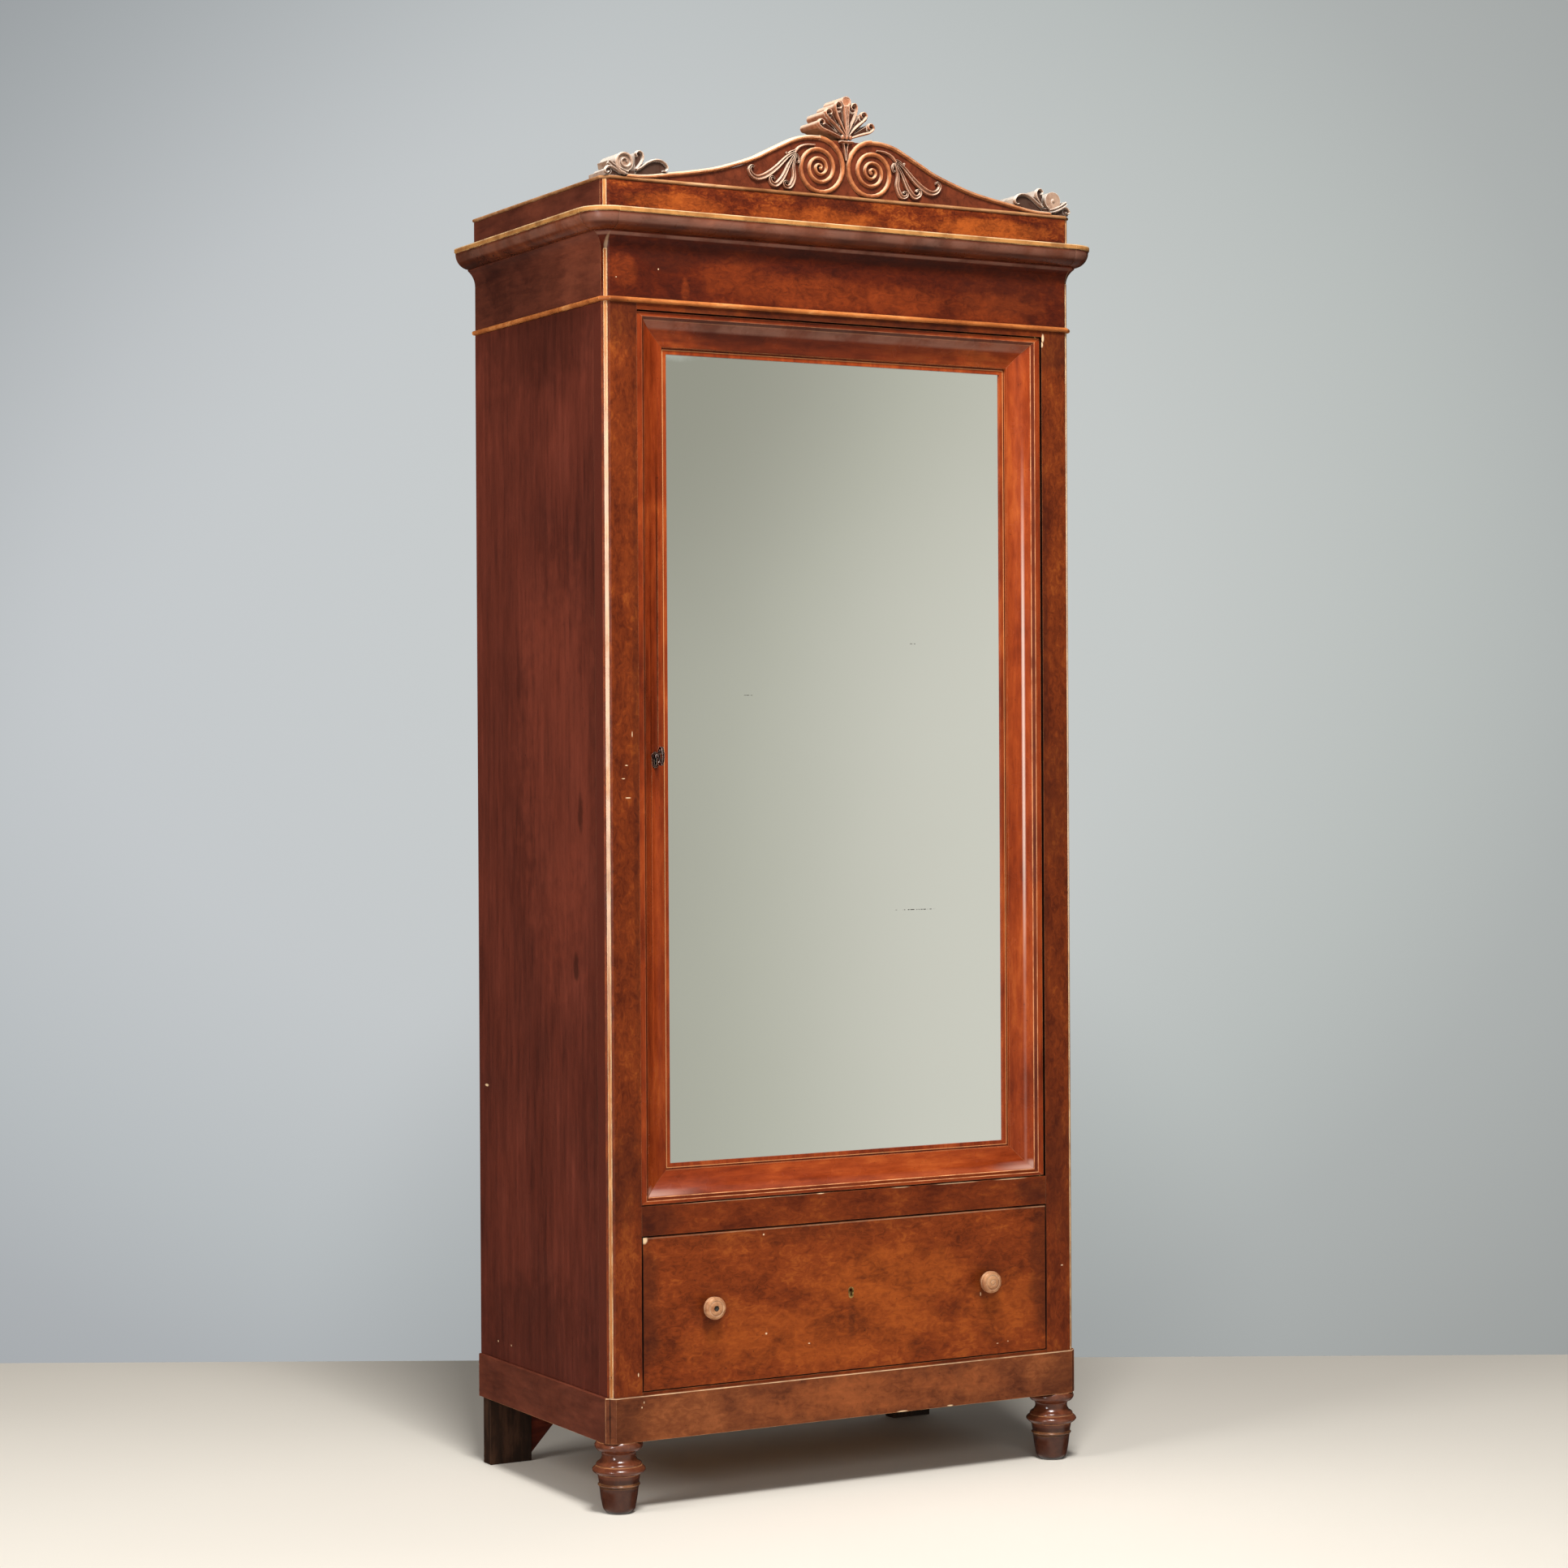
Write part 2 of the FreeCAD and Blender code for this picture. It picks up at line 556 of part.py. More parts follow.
def make_shelves():
    shelves, battens = [], []
    reach = INNER - SHELF_SIDE_GAP
    shelf_back = BACK_FACE - SHELF_SIDE_GAP
    batten_front = SHELF_SETBACK + BATTEN_WIDTH
    batten_back = BACK_FACE - BATTEN_WIDTH
    for z in shelf_levels():
        shelves.append(block(-reach, reach, SHELF_SETBACK, shelf_back, z, z + SHELF_THICKNESS))
        batten = block(INNER - BATTEN_WIDTH, INNER, batten_front, batten_back, z - BATTEN_HEIGHT, z)
        battens += [other_side(batten), batten]
    save("linen_shelves", Part.makeCompound(shelves))
    save("shelf_battens", Part.makeCompound(battens))


def make_runners():
    """Wear strips under the drawer sides, and guides beside them."""
    pieces = []
    depth_end = BACK_FACE
    x1 = DRAWER_SIDE_OUT + GUIDE_GAP
    runner = block(x1 - RUNNER_WIDTH, x1, STILE_DEPTH, depth_end, Z_BOTTOM_BOARD_TOP,
                   Z_BOTTOM_BOARD_TOP + RUNNER_THICKNESS)
    guide = block(x1, x1 + GUIDE_WIDTH, STILE_DEPTH, depth_end, Z_BOTTOM_BOARD_TOP,
                  Z_BOTTOM_BOARD_TOP + GUIDE_HEIGHT)
    for piece in (runner, guide):
        pieces += [other_side(piece), piece]
    save("drawer_runners_and_guides", Part.makeCompound(pieces))


# ---- crown ------------------------------------------------------------------------------------------
def make_frieze():
    bead_radius = BEAD_HEIGHT / 2
    flat = BEAD_PROUD - bead_radius
    bead = outline(
        (-CROWN_BOARD, Z_BODY_TOP), (flat, Z_BODY_TOP),
        ((BEAD_PROUD, Z_BODY_TOP + bead_radius), (flat, Z_FRIEZE)), (-CROWN_BOARD, Z_FRIEZE))
    save("frieze_bead", Part.makeCompound(list(around_front(bead, CROWN_BOARD, 2 * BEAD_PROUD))))
    cove_radius = (COVE_PROUD ** 2 + FRIEZE_COVE_HEIGHT ** 2) / (2 * COVE_PROUD)
    half_angle = math.asin(FRIEZE_COVE_HEIGHT / cove_radius) / 2
    middle = (cove_radius * (1 - math.cos(half_angle)), Z_COVE + cove_radius * math.sin(half_angle))
    frieze = outline(
        (-CROWN_BOARD, Z_FRIEZE), (0, Z_FRIEZE), (0, Z_COVE), (middle, (COVE_PROUD, Z_COVE_TOP)),
        (COVE_PROUD, Z_CORNICE), (-CROWN_BOARD, Z_CORNICE))
    front, left, right = around_front(frieze, CROWN_BOARD, 2 * COVE_PROUD)
    save("frieze_front", front)
    save("frieze_returns", Part.makeCompound([left, right]))
    inside = HALF - CROWN_BOARD
    back = block(-inside, inside, BACK - CROWN_BOARD, BACK, Z_FRIEZE, Z_CORNICE)
    save("frieze_back_rail", back)


def cornice_section():
    """Ovolo under a flat fascia; it reaches in as far as the corner's centre."""
    a, b = V(OVOLO_FOOT, Z_CORNICE, 0), V(OVOLO_TOP, Z_FASCIA, 0)
    chord = b - a
    bulge = V(chord.y, -chord.x, 0).normalize() * (OVOLO_BULGE * chord.Length)
    middle = (a + b) * 0.5 + bulge
    return outline(
        (-CHAMFER, Z_CORNICE), (OVOLO_FOOT, Z_CORNICE), ((middle.x, middle.y), (OVOLO_TOP, Z_FASCIA)),
        (CORNICE_OVERHANG, Z_FASCIA), (CORNICE_OVERHANG, Z_ATTIC), (-CHAMFER, Z_ATTIC))


def make_cornice():
    face = Part.Face(cornice_section())
    centre_x = HALF - CHAMFER
    front = placed(face, V(0, -1, 0), V(0, 0, 1), V(centre_x, FRONT, 0)).extrude(V(-2 * centre_x, 0, 0))
    save("cornice_front", front)
    side = placed(face, V(1, 0, 0), V(0, 0, 1), V(HALF, FRONT + CHAMFER, 0))
    side = side.extrude(V(0, BACK - CHAMFER, 0))
    save("cornice_returns", Part.makeCompound([other_side(side), side]))
    corner = placed(face, V(0, -1, 0), V(0, 0, 1), V(centre_x, FRONT, 0))
    corner = corner.revolve(V(centre_x, FRONT + CHAMFER, 0), V(0, 0, 1), 90)
    save("cornice_corner_blocks", Part.makeCompound([other_side(corner), corner]))
    board = block(-centre_x, centre_x, CHAMFER, BACK, Z_ATTIC - CROWN_TOP_THICKNESS, Z_ATTIC)
    save("crown_top_board", board)


def make_attic():
    inner = ATTIC_PROUD - ATTIC_BOARD
    board = outline(
        (inner, Z_ATTIC), (ATTIC_PROUD, Z_ATTIC), (ATTIC_PROUD, Z_ATTIC_MOULDING), (inner, Z_ATTIC_MOULDING))
    front, left, right = around_front(board, -inner, 2 * CHAMFER)
    save("attic_front", front)
    save("attic_returns", Part.makeCompound([left, right]))
    nose = ATTIC_MOULDING_HEIGHT / 2
    edge = outline(
        (inner, Z_ATTIC_MOULDING), (ATTIC_PROUD, Z_ATTIC_MOULDING),
        ((ATTIC_PROUD + nose, Z_ATTIC_MOULDING + nose), (ATTIC_PROUD, Z_PEDIMENT)), (inner, Z_PEDIMENT))
    save("attic_top_moulding", Part.makeCompound(list(around_front(edge, -inner, 2 * CHAMFER))))


# ---- pediment ---------------------------------------------------------------------------------------
# The pediment's top line on the carver's drawing: the inner points are counted from the middle, the
# outer ones from the body's side, and all heights from the attic moulding.
TOP_LINE_INNER = [(75, 99.8), (100, 94), (125, 82.5), (156, 67), (187.5, 52)]
TOP_LINE_OUTER = [(215, 31.5), (165, 21), (125, 14.5), (92, 8.5), (68, 6), (42, 6)]


def from_middle(points):
    return [(x * PATTERN_UNIT, Z_PEDIMENT + z * PATTERN_UNIT) for x, z in points]


def from_side(points):
    return [(HALF - x * PATTERN_UNIT, Z_PEDIMENT + z * PATTERN_UNIT) for x, z in points]


def top_line(drop):
    """The top line, lowered at right angles by drop."""
    start = (VOLUTE_EYE_X, Z_PEDIMENT + VOLUTE_EYE_RISE + VOLUTE_START_RADIUS)
    nodes = [start] + from_middle(TOP_LINE_INNER) + from_side(TOP_LINE_OUTER)
    line = Part.BSplineCurve()
    line.interpolate([V(x, z, 0) for x, z in nodes])
    low, high = line.FirstParameter, line.LastParameter
    count = 3 * len(nodes)
    points = []
    for i in range(count + 1):
        place = low + (high - low) * i / count
        at = line.value(place)
        tangent = line.tangent(place)[0]
        points.append((at.x + tangent[1] * drop, at.y - tangent[0] * drop))
    return points


def make_pediment():
    half = board_under_moulding()
    save("pediment_board", fused([half, other_side(half)]))
    upper = top_line(0)
    lower = [(x, max(z, Z_PEDIMENT)) for x, z in top_line(EDGE_MOULDING)]
    moulding = frontal_prism(band_wire(upper, lower), -RELIEF, PEDIMENT_THICKNESS)
    above_attic = block(0, HALF, -RELIEF, PEDIMENT_THICKNESS, Z_PEDIMENT, 2 * Z_PEDIMENT)
    moulding = moulding.common(above_attic).cut(half)
    save("pediment_edge_moulding", Part.makeCompound([other_side(moulding), moulding]))
    end = acroterion().cut(moulding)
    save("left_acroterion", other_side(end))
    save("right_acroterion", end)


def board_under_moulding():
    """Right half of the board below the edge moulding, with a flat top behind the volutes."""
    peak = Z_PEDIMENT + PEDIMENT_PEAK
    under = [(x, z) for x, z in top_line(EDGE_MOULDING) if z > Z_PEDIMENT + 0.5]
    curve = smooth_edge(under)
    first, last = under[0], under[-1]
    path = [first, (first[0], peak), (0, peak), (0, Z_PEDIMENT), (last[0], Z_PEDIMENT), last]
    edges = [curve]
    for a, b in zip(path, path[1:]):
        if (V(*a, 0) - V(*b, 0)).Length > 1e-6:
            edges.append(Part.LineSegment(V(*a, 0), V(*b, 0)).toShape())
    return frontal_prism(Part.Wire(Part.__sortEdges__(edges)), 0, PEDIMENT_THICKNESS)


def spiral_radius(turn):
    return (VOLUTE_START_RADIUS + VOLUTE_POLE) * VOLUTE_SHRINK ** turn - VOLUTE_POLE


def spiral_point(turn, inset):
    """A point of the right volute: it starts above the eye and winds towards the middle and down."""
    angle = math.pi / 2 + 2 * math.pi * turn
    radius = spiral_radius(turn) - inset
    eye_z = Z_PEDIMENT + VOLUTE_EYE_RISE
    return (VOLUTE_EYE_X + radius * math.cos(angle), eye_z + radius * math.sin(angle))


def volute():
    steps = int(VOLUTE_TURNS * 16)
    outer, inner = [], []
    for i in range(steps + 1):
        turn = VOLUTE_TURNS * i / steps
        outer.append(spiral_point(turn, 0))
        inner.append(spiral_point(turn, VOLUTE_RIDGE - VOLUTE_TAPER * turn))
    ridge = frontal_prism(band_wire(outer, inner), -RELIEF, 0)
    eye = disc(VOLUTE_EYE_X, Z_PEDIMENT + VOLUTE_EYE_RISE, VOLUTE_RIDGE / 2, -RELIEF, 0)
    above_moulding = block(0, HALF, -RELIEF, 0, Z_PEDIMENT, 2 * Z_PEDIMENT)
    return ridge.fuse(eye).common(above_moulding)


SPRAY_STEM = ([(57, 81), (78, 80.5), (93, 75), (101, 66)], [2.5, 4, 5, 5])
SPRAY_NODE = (100, 66)
# Petals of the right spray, each as the line of its rib from the stem to the curled tip.
SPRAY_PETALS = [
    ([(101, 67), (116, 58), (137, 38), (156, 24), (172, 18), (184, 21), (190, 30), (186, 37)],
     [3.5, 6, 8, 9.5, 9, 7, 5, 3]),
    ([(100, 66), (112, 47), (122, 27), (130, 15.5), (139, 8.5), (148, 13), (149.5, 19), (144, 21)],
     [3.5, 5.5, 7, 8.5, 8, 6, 4.5, 3]),
    ([(99, 65), (104.5, 44), (103, 25), (108, 11.5), (114, 6.5), (121.5, 9), (122.5, 14), (117.5, 15)],
     [3.5, 5, 6.5, 7.5, 7, 5, 4, 3]),
    ([(98, 71), (108, 66.5), (115, 62), (118, 66)], [3, 5.5, 4, 2.5])]


def spray():
    node = from_middle([SPRAY_NODE])[0]
    pieces = [disc(*node, SPRAY_NODE_RADIUS, -RELIEF, 0)]
    for line, widths in [SPRAY_STEM] + SPRAY_PETALS:
        pieces.append(ribbon(from_middle(line), widths, -RELIEF, 0))
    return fused(pieces)


def make_carving():
    right = volute()
    save("pediment_volutes", Part.makeCompound([other_side(right), right]))
    leaves = spray().cut(right)
    save("leaf_sprays", Part.makeCompound([other_side(leaves), leaves]))
    save("palmette", palmette())


# Side leaves of the palmette: the tip's centre and radius, measured from the collar.
PALMETTE_TIPS = [((14.5, 57), 8.5), ((35, 43), 8.5), ((50, 26.5), 8.5)]
PALMETTE_CENTRE_TOP = 68.0
PALMETTE_CENTRE_HALVES = (3.0, 8.0)     # half widths of the centre leaf at its root and under its roll
PALMETTE_ROLL_RADIUS = 9.0
PALMETTE_LEAF_ROOT = 5.0
PALMETTE_PROUD = 2.0                    # in front of the other carving; the collar is twice as proud
COLLAR_HALF = 12.0
COLLAR_DROP = 3.0
COLLAR_RISE = 2.0
DART_HALVES = (5.0, 1.0)                # half widths of the dart at the collar and at its point
DART_LENGTH = 34.0


def palmette():
    """Seven rolled leaves on a collar, cut through the depth of the block, with a dart below."""
    base = Z_PEDIMENT + PEDIMENT_PEAK
    front = -RELIEF - PALMETTE_PROUD
    back = front + PALMETTE_DEPTH
    top = base + PALMETTE_CENTRE_TOP
    pieces = [disc(0, top, PALMETTE_ROLL_RADIUS, front, back)]
    root, shoulder = PALMETTE_CENTRE_HALVES
    centre = outline((-root, base), (root, base), (shoulder, top), (-shoulder, top))
    pieces.append(frontal_prism(centre, front, back))
    for (x, z), radius in PALMETTE_TIPS:
        for side in (-1, 1):
            tip = V(side * x, z, 0)
            run = V(tip).normalize()
            across = V(-run.y, run.x, 0)
            corners = [across * PALMETTE_LEAF_ROOT, tip + across * radius, tip - across * radius,
                       across * -PALMETTE_LEAF_ROOT]
            corners = [(c.x, base + max(c.y, 0)) for c in corners]
            pieces.append(frontal_prism(outline(*corners), front, back))
            pieces.append(disc(side * x, base + z, radius, front, back))
    body = fused(pieces)
    body = body.common(block(-HALF, HALF, front, back, base, base + 2 * PALMETTE_CENTRE_TOP))
    low, high = base - COLLAR_DROP, base + COLLAR_RISE
    collar = outline((-COLLAR_HALF, low), (COLLAR_HALF, low), (COLLAR_HALF, high), (-COLLAR_HALF, high))
    wide, narrow = DART_HALVES
    tip = base - DART_LENGTH
    dart = outline((-wide, low), (-narrow, tip), (narrow, tip), (wide, low))
    return fused([
        body, frontal_prism(collar, front - PALMETTE_PROUD, 0), frontal_prism(dart, -RELIEF, 0)])


# Lines of the right acroterion, counted from the body's side, with the ribbons' widths along them.
LONG_PETAL = ([(59, 13), (69, 17), (80, 25), (94, 31), (106, 31), (115, 26), (118, 19), (114, 14)],
              [4, 6, 7, 8, 8, 7, 6, 4])
UPPER_LEAF = ([(61, 13), (69, 24), (73, 33), (71, 41), (64, 43), (59, 38), (62, 32)],
              [4, 6, 7, 7, 6, 5, 4])
RISING_LEAF = ([(42, 5.5), (25, 11), (8, 22)], [8, 8, 6])
FALLING_LEAF = ([(31, 5), (17, 12), (6, 12), (2, 5)], [6, 8, 6, 4])
ACROTERION_FOOT = [(68, 0), (7, 0), (13, 9), (35, 12), (61, 15), (68, 10)]


def acroterion():
    """Corner ornament of the right end: a rolled boss with petals, cut through the block's depth."""
    front, back = -RELIEF, ACROTERION_DEPTH - RELIEF
    pieces = [disc(HALF - BOSS_INSET, Z_PEDIMENT + BOSS_RISE, BOSS_RADIUS, front, back)]
    pieces.append(frontal_prism(outline(*from_side(ACROTERION_FOOT)), 0, back))
    for line, widths in (LONG_PETAL, UPPER_LEAF, RISING_LEAF, FALLING_LEAF):
        pieces.append(ribbon(from_side(line), widths, front, back))
    return fused(pieces)


# ---- door -------------------------------------------------------------------------------------------
def cove_section(margin):
    """Half section of the door frame as (distance in from the door's edge, depth)."""
    facet_in = margin + FACET_WIDTH
    facet_at = DOOR_RECESS + FACET_DEPTH
    inner = margin + MOULDING_WIDTH
    floor = DOOR_RECESS + MOULDING_DEPTH
    rise, reach = floor - facet_at, inner - facet_in
    radius = (rise ** 2 + reach ** 2) / (2 * rise)
    half_angle = math.asin(reach / radius) / 2
    middle = (inner - radius * math.sin(half_angle), floor - radius * (1 - math.cos(half_angle)))
    rebate = inner - REBATE_LAP
    return outline(
        (0, DOOR_RECESS), (margin, DOOR_RECESS), (facet_in, facet_at), (middle, (inner, floor)),
        (inner, REBATE_FRONT), (rebate, REBATE_FRONT), (rebate, DOOR_BACK), (0, DOOR_BACK))


def frame_corners():
    """Corner points of the door frame: at its edge, at the moulding's start and at the sight edge."""
    low = [(DOOR_HALF, Z_DOOR), (DOOR_HALF - DOOR_MARGIN_SIDE, Z_DOOR + DOOR_MARGIN_BOTTOM)]
    high = [(DOOR_HALF, Z_DOOR_TOP), (DOOR_HALF - DOOR_MARGIN_SIDE, Z_DOOR_TOP - DOOR_MARGIN_TOP)]
    low.append((low[1][0] - MOULDING_WIDTH, low[1][1] + MOULDING_WIDTH))
    high.append((high[1][0] - MOULDING_WIDTH, high[1][1] - MOULDING_WIDTH))
    return low, high


def frame_piece(section, across, start, run, corners):
    """A moulded bar trimmed to its mitred outline; across points from the door's edge inwards."""
    face = placed(Part.Face(section), across, V(0, 1, 0), start)
    bar = face.extrude(run)
    trim = frontal_prism(outline(*corners), DOOR_RECESS, DOOR_BACK)
    return bar.common(trim)


def make_door_frame():
    low, high = frame_corners()
    height = V(0, 0, DOOR_HEIGHT)
    width = V(2 * DOOR_HALF, 0, 0)
    stile = frame_piece(cove_section(DOOR_MARGIN_SIDE), V(-1, 0, 0), V(DOOR_HALF, FRONT, Z_DOOR), height,
                        low + high[::-1])
    left = other_side(stile)
    mirrored = [(-x, z) for x, z in low]
    bottom = frame_piece(
        cove_section(DOOR_MARGIN_BOTTOM), V(0, 0, 1), V(-DOOR_HALF, FRONT, Z_DOOR), width,
        low + mirrored[::-1])
    mirrored = [(-x, z) for x, z in high]
    top = frame_piece(
        cove_section(DOOR_MARGIN_TOP), V(0, 0, -1), V(-DOOR_HALF, FRONT, Z_DOOR_TOP), width,
        high + mirrored[::-1])
    plate = hinge_plate_box()
    low_cut = block(*plate, Z_DOOR, Z_DOOR + HINGE_PLATE_THICKNESS)
    high_cut = block(*plate, Z_DOOR_TOP - HINGE_PLATE_THICKNESS, Z_DOOR_TOP)
    bore = PIVOT_PIN_RADIUS + RUN_GAP
    low_bore = rod(bore, PIVOT_PIN_LENGTH, (PIVOT_X, PIVOT_Y, Z_DOOR), V(0, 0, 1))
    high_bore = rod(bore, PIVOT_PIN_LENGTH, (PIVOT_X, PIVOT_Y, Z_DOOR_TOP), V(0, 0, -1))
    cuts = Part.makeCompound([low_cut, high_cut, low_bore, high_bore])
    save("door_hinge_stile", stile.cut(cuts))
    save("door_bottom_rail", bottom.cut(cuts))
    save("door_top_rail", top.cut(cuts))
    key_bore = keyhole(KEY_X, KEY_Z, DOOR_RECESS, DOOR_BACK)
    save("door_lock_stile", left.cut(lock_case_block()).cut(door_escutcheon_blank()).cut(key_bore))


def make_mirror():
    """Slip, glass and board that lie in the rebate of the frame, one behind the other."""
    low, high = frame_corners()
    x_sight = low[2][0]
    x_rebate = x_sight + REBATE_LAP
    z0, z1 = low[2][1], high[2][1]
    inner = SLIP_VISIBLE
    slips = []
    side = outline(
        (x_rebate, z0 - REBATE_LAP), (x_rebate, z1 + REBATE_LAP), (x_sight - inner, z1 - inner),
        (x_sight - inner, z0 + inner))
    right = frontal_prism(side, REBATE_FRONT, REBATE_FRONT + SLIP_THICKNESS)
    slips += [other_side(right), right]
    for sign, z in ((1, z0), (-1, z1)):
        rail = outline(
            (-x_rebate, z - sign * REBATE_LAP), (x_rebate, z - sign * REBATE_LAP),
            (x_sight - inner, z + sign * inner), (-x_sight + inner, z + sign * inner))
        slips.append(frontal_prism(rail, REBATE_FRONT, REBATE_FRONT + SLIP_THICKNESS))
    save("mirror_slips", Part.makeCompound(slips))
    x = x_rebate - GLASS_PLAY
    z_low = z0 - REBATE_LAP + GLASS_PLAY
    z_high = z1 + REBATE_LAP - GLASS_PLAY
    glass_front = REBATE_FRONT + SLIP_THICKNESS
    glass_back = glass_front + GLASS_THICKNESS
    save("mirror_glass", block(-x, x, glass_front, glass_back, z_low, z_high))
    board = block(-x_rebate, x_rebate, glass_back, DOOR_BACK, z0 - REBATE_LAP, z1 + REBATE_LAP)
    save("mirror_backboard", board)


def hinge_plate_box():
    """The pivot plates' footprint; the ones on the door and on the carcass face each other."""
    x1 = DOOR_HALF
    y0 = PIVOT_Y - PIVOT_PIN_RADIUS - HINGE_PLATE_EDGE
    return x1 - HINGE_PLATE_LENGTH, x1, y0, y0 + HINGE_PLATE_WIDTH


def make_hinges():
    plate = hinge_plate_box()
    pin_low = rod(PIVOT_PIN_RADIUS, PIVOT_PIN_LENGTH, (PIVOT_X, PIVOT_Y, Z_FLOOR), V(0, 0, 1))
    pin_high = rod(PIVOT_PIN_RADIUS, PIVOT_PIN_LENGTH, (PIVOT_X, PIVOT_Y, Z_TOP_RAIL), V(0, 0, -1))
    lower = block(*plate, Z_FLOOR - HINGE_PLATE_THICKNESS, Z_FLOOR).fuse(pin_low)
    upper = block(*plate, Z_TOP_RAIL, Z_TOP_RAIL + HINGE_PLATE_THICKNESS).fuse(pin_high)
    save("carcass_pivot_plates", Part.makeCompound([lower, upper]))
    hole = rod(PIVOT_PIN_RADIUS + PIVOT_FIT, DOOR_HEIGHT, (PIVOT_X, PIVOT_Y, Z_DOOR), V(0, 0, 1))
    lower = block(*plate, Z_DOOR, Z_DOOR + HINGE_PLATE_THICKNESS).cut(hole)
    upper = block(*plate, Z_DOOR_TOP - HINGE_PLATE_THICKNESS, Z_DOOR_TOP).cut(hole)
    save("door_pivot_plates", Part.makeCompound([lower, upper]))


# ---- door lock and key --------------------------------------------------------------------------------
def pear(x, z, radius, foot_radius, drop, y0, y1):
    """A pear-shaped prism: a round top that tapers to a smaller round foot."""
    spread = math.asin((radius - foot_radius) / drop)
    ca, sa = math.cos(spread), math.sin(spread)
    top_right = (x + radius * ca, z - radius * sa)
    foot_right = (x + foot_radius * ca, z - drop - foot_radius * sa)
    foot_left = (x - foot_radius * ca, z - drop - foot_radius * sa)
    top_left = (x - radius * ca, z - radius * sa)
    lowest, highest = (x, z - drop - foot_radius), (x, z + radius)
    wire = outline(top_right, foot_right, (lowest, foot_left), top_left, (highest, top_right))
    return frontal_prism(wire, y0, y1)


def keyhole(x, z, y0, y1, slot=KEYHOLE_SLOT_LENGTH):
    half = KEYHOLE_SLOT_WIDTH / 2
    return disc(x, z, KEYHOLE_RADIUS, y0, y1).fuse(block(x - half, x + half, y0, y1, z - slot, z))


def lock_span():
    """Left, right, front and back of the lock, which fills a pocket from the door's edge."""
    low, _ = frame_corners()
    right = -(low[2][0] + REBATE_LAP + LOCK_LEDGE)
    return -DOOR_HALF, right, DOOR_BACK - LOCK_DEPTH, DOOR_BACK


def lock_case_block():
    return block(*lock_span(), KEY_Z - LOCK_HEIGHT / 2, KEY_Z + LOCK_HEIGHT / 2)


def door_bolt_box():
    """Front, back, bottom and top of the door's bolt."""
    _, _, front, back = lock_span()
    y0 = (front + back - BOLT_THICKNESS) / 2
    z0 = KEY_Z + BOLT_RISE
    return y0, y0 + BOLT_THICKNESS, z0, z0 + BOLT_HEIGHT


def door_escutcheon_front():
    return DOOR_RECESS + MOULDING_DEPTH - ESCUTCHEON_PROUD


def door_escutcheon_blank():
    back = lock_span()[2]
    return pear(KEY_X, KEY_Z, ESCUTCHEON_RADIUS, ESCUTCHEON_FOOT_RADIUS, ESCUTCHEON_DROP,
                door_escutcheon_front(), back - LOCK_WALL)


def make_door_lock():
    x0, x1, y0, y1 = lock_span()
    case = lock_case_block()
    half = LOCK_HEIGHT / 2 - LOCK_WALL
    hollow = block(
        x0 + LOCK_WALL, x1 - LOCK_WALL, y0 + LOCK_WALL, y1 - LOCK_WALL, KEY_Z - half, KEY_Z + half)
    bolt_y0, bolt_y1, bolt_z0, bolt_z1 = door_bolt_box()
    slot = block(
        x0, x0 + LOCK_WALL, bolt_y0 - RUN_GAP, bolt_y1 + RUN_GAP, bolt_z0 - RUN_GAP, bolt_z1 + RUN_GAP)
    save("door_lock_case", case.cut(hollow).cut(slot).cut(keyhole(KEY_X, KEY_Z, y0, y0 + LOCK_WALL)))
    bolt = block(x0 + BOLT_INSET, x0 + BOLT_INSET + BOLT_LENGTH, bolt_y0, bolt_y1, bolt_z0, bolt_z1)
    save("door_lock_bolt", bolt)
    plate = door_escutcheon_blank()
    save("door_escutcheon", plate.cut(keyhole(KEY_X, KEY_Z, door_escutcheon_front(), y1)))


def make_key():
    """Shank, bit, stop collar and an oval bow that stands upright in front of the door."""
    _, _, y0, y1 = lock_span()
    tip = y1 - LOCK_WALL - RUN_GAP
    bow_back = door_escutcheon_front() - KEY_NECK_LENGTH
    shank = disc(KEY_X, KEY_Z, KEY_SHANK_RADIUS, bow_back - KEY_BOW_BAR / 2, tip)
    collar_front = bow_back + KEY_COLLAR_FROM_BOW
    collar = disc(KEY_X, KEY_Z, KEY_COLLAR_RADIUS, collar_front, collar_front + KEY_COLLAR_LENGTH)
    bit_front = y0 + LOCK_WALL + KEY_BIT_PLAY
    bit_back = bit_front + KEY_BIT_LENGTH
    half = KEY_BIT_THICKNESS / 2
    bit = block(KEY_X - half, KEY_X + half, bit_front, bit_back, KEY_Z - KEY_BIT_REACH, KEY_Z)
    middle = V(KEY_X - KEY_BOW_THICKNESS / 2, FRONT + bow_back - KEY_BOW_LENGTH / 2, KEY_Z)
    rings = []
    for shrink in (0, KEY_BOW_BAR):
        oval = Part.Ellipse(V(0, 0, 0), KEY_BOW_HEIGHT / 2 - shrink, KEY_BOW_LENGTH / 2 - shrink)
        face = placed(Part.Face(Part.Wire(oval.toShape())), V(0, 0, 1), V(0, 1, 0), middle)
        rings.append(face.extrude(V(KEY_BOW_THICKNESS, 0, 0)))
    bow = rings[0].cut(rings[1])
    save("door_key", fused([shank, collar, bit, bow]))


# ---- drawer -----------------------------------------------------------------------------------------
def drawer_bolt_front():
    return DRAWER_FRONT_THICKNESS + (DRAWER_LOCK_DEPTH - DRAWER_BOLT_THICKNESS) / 2


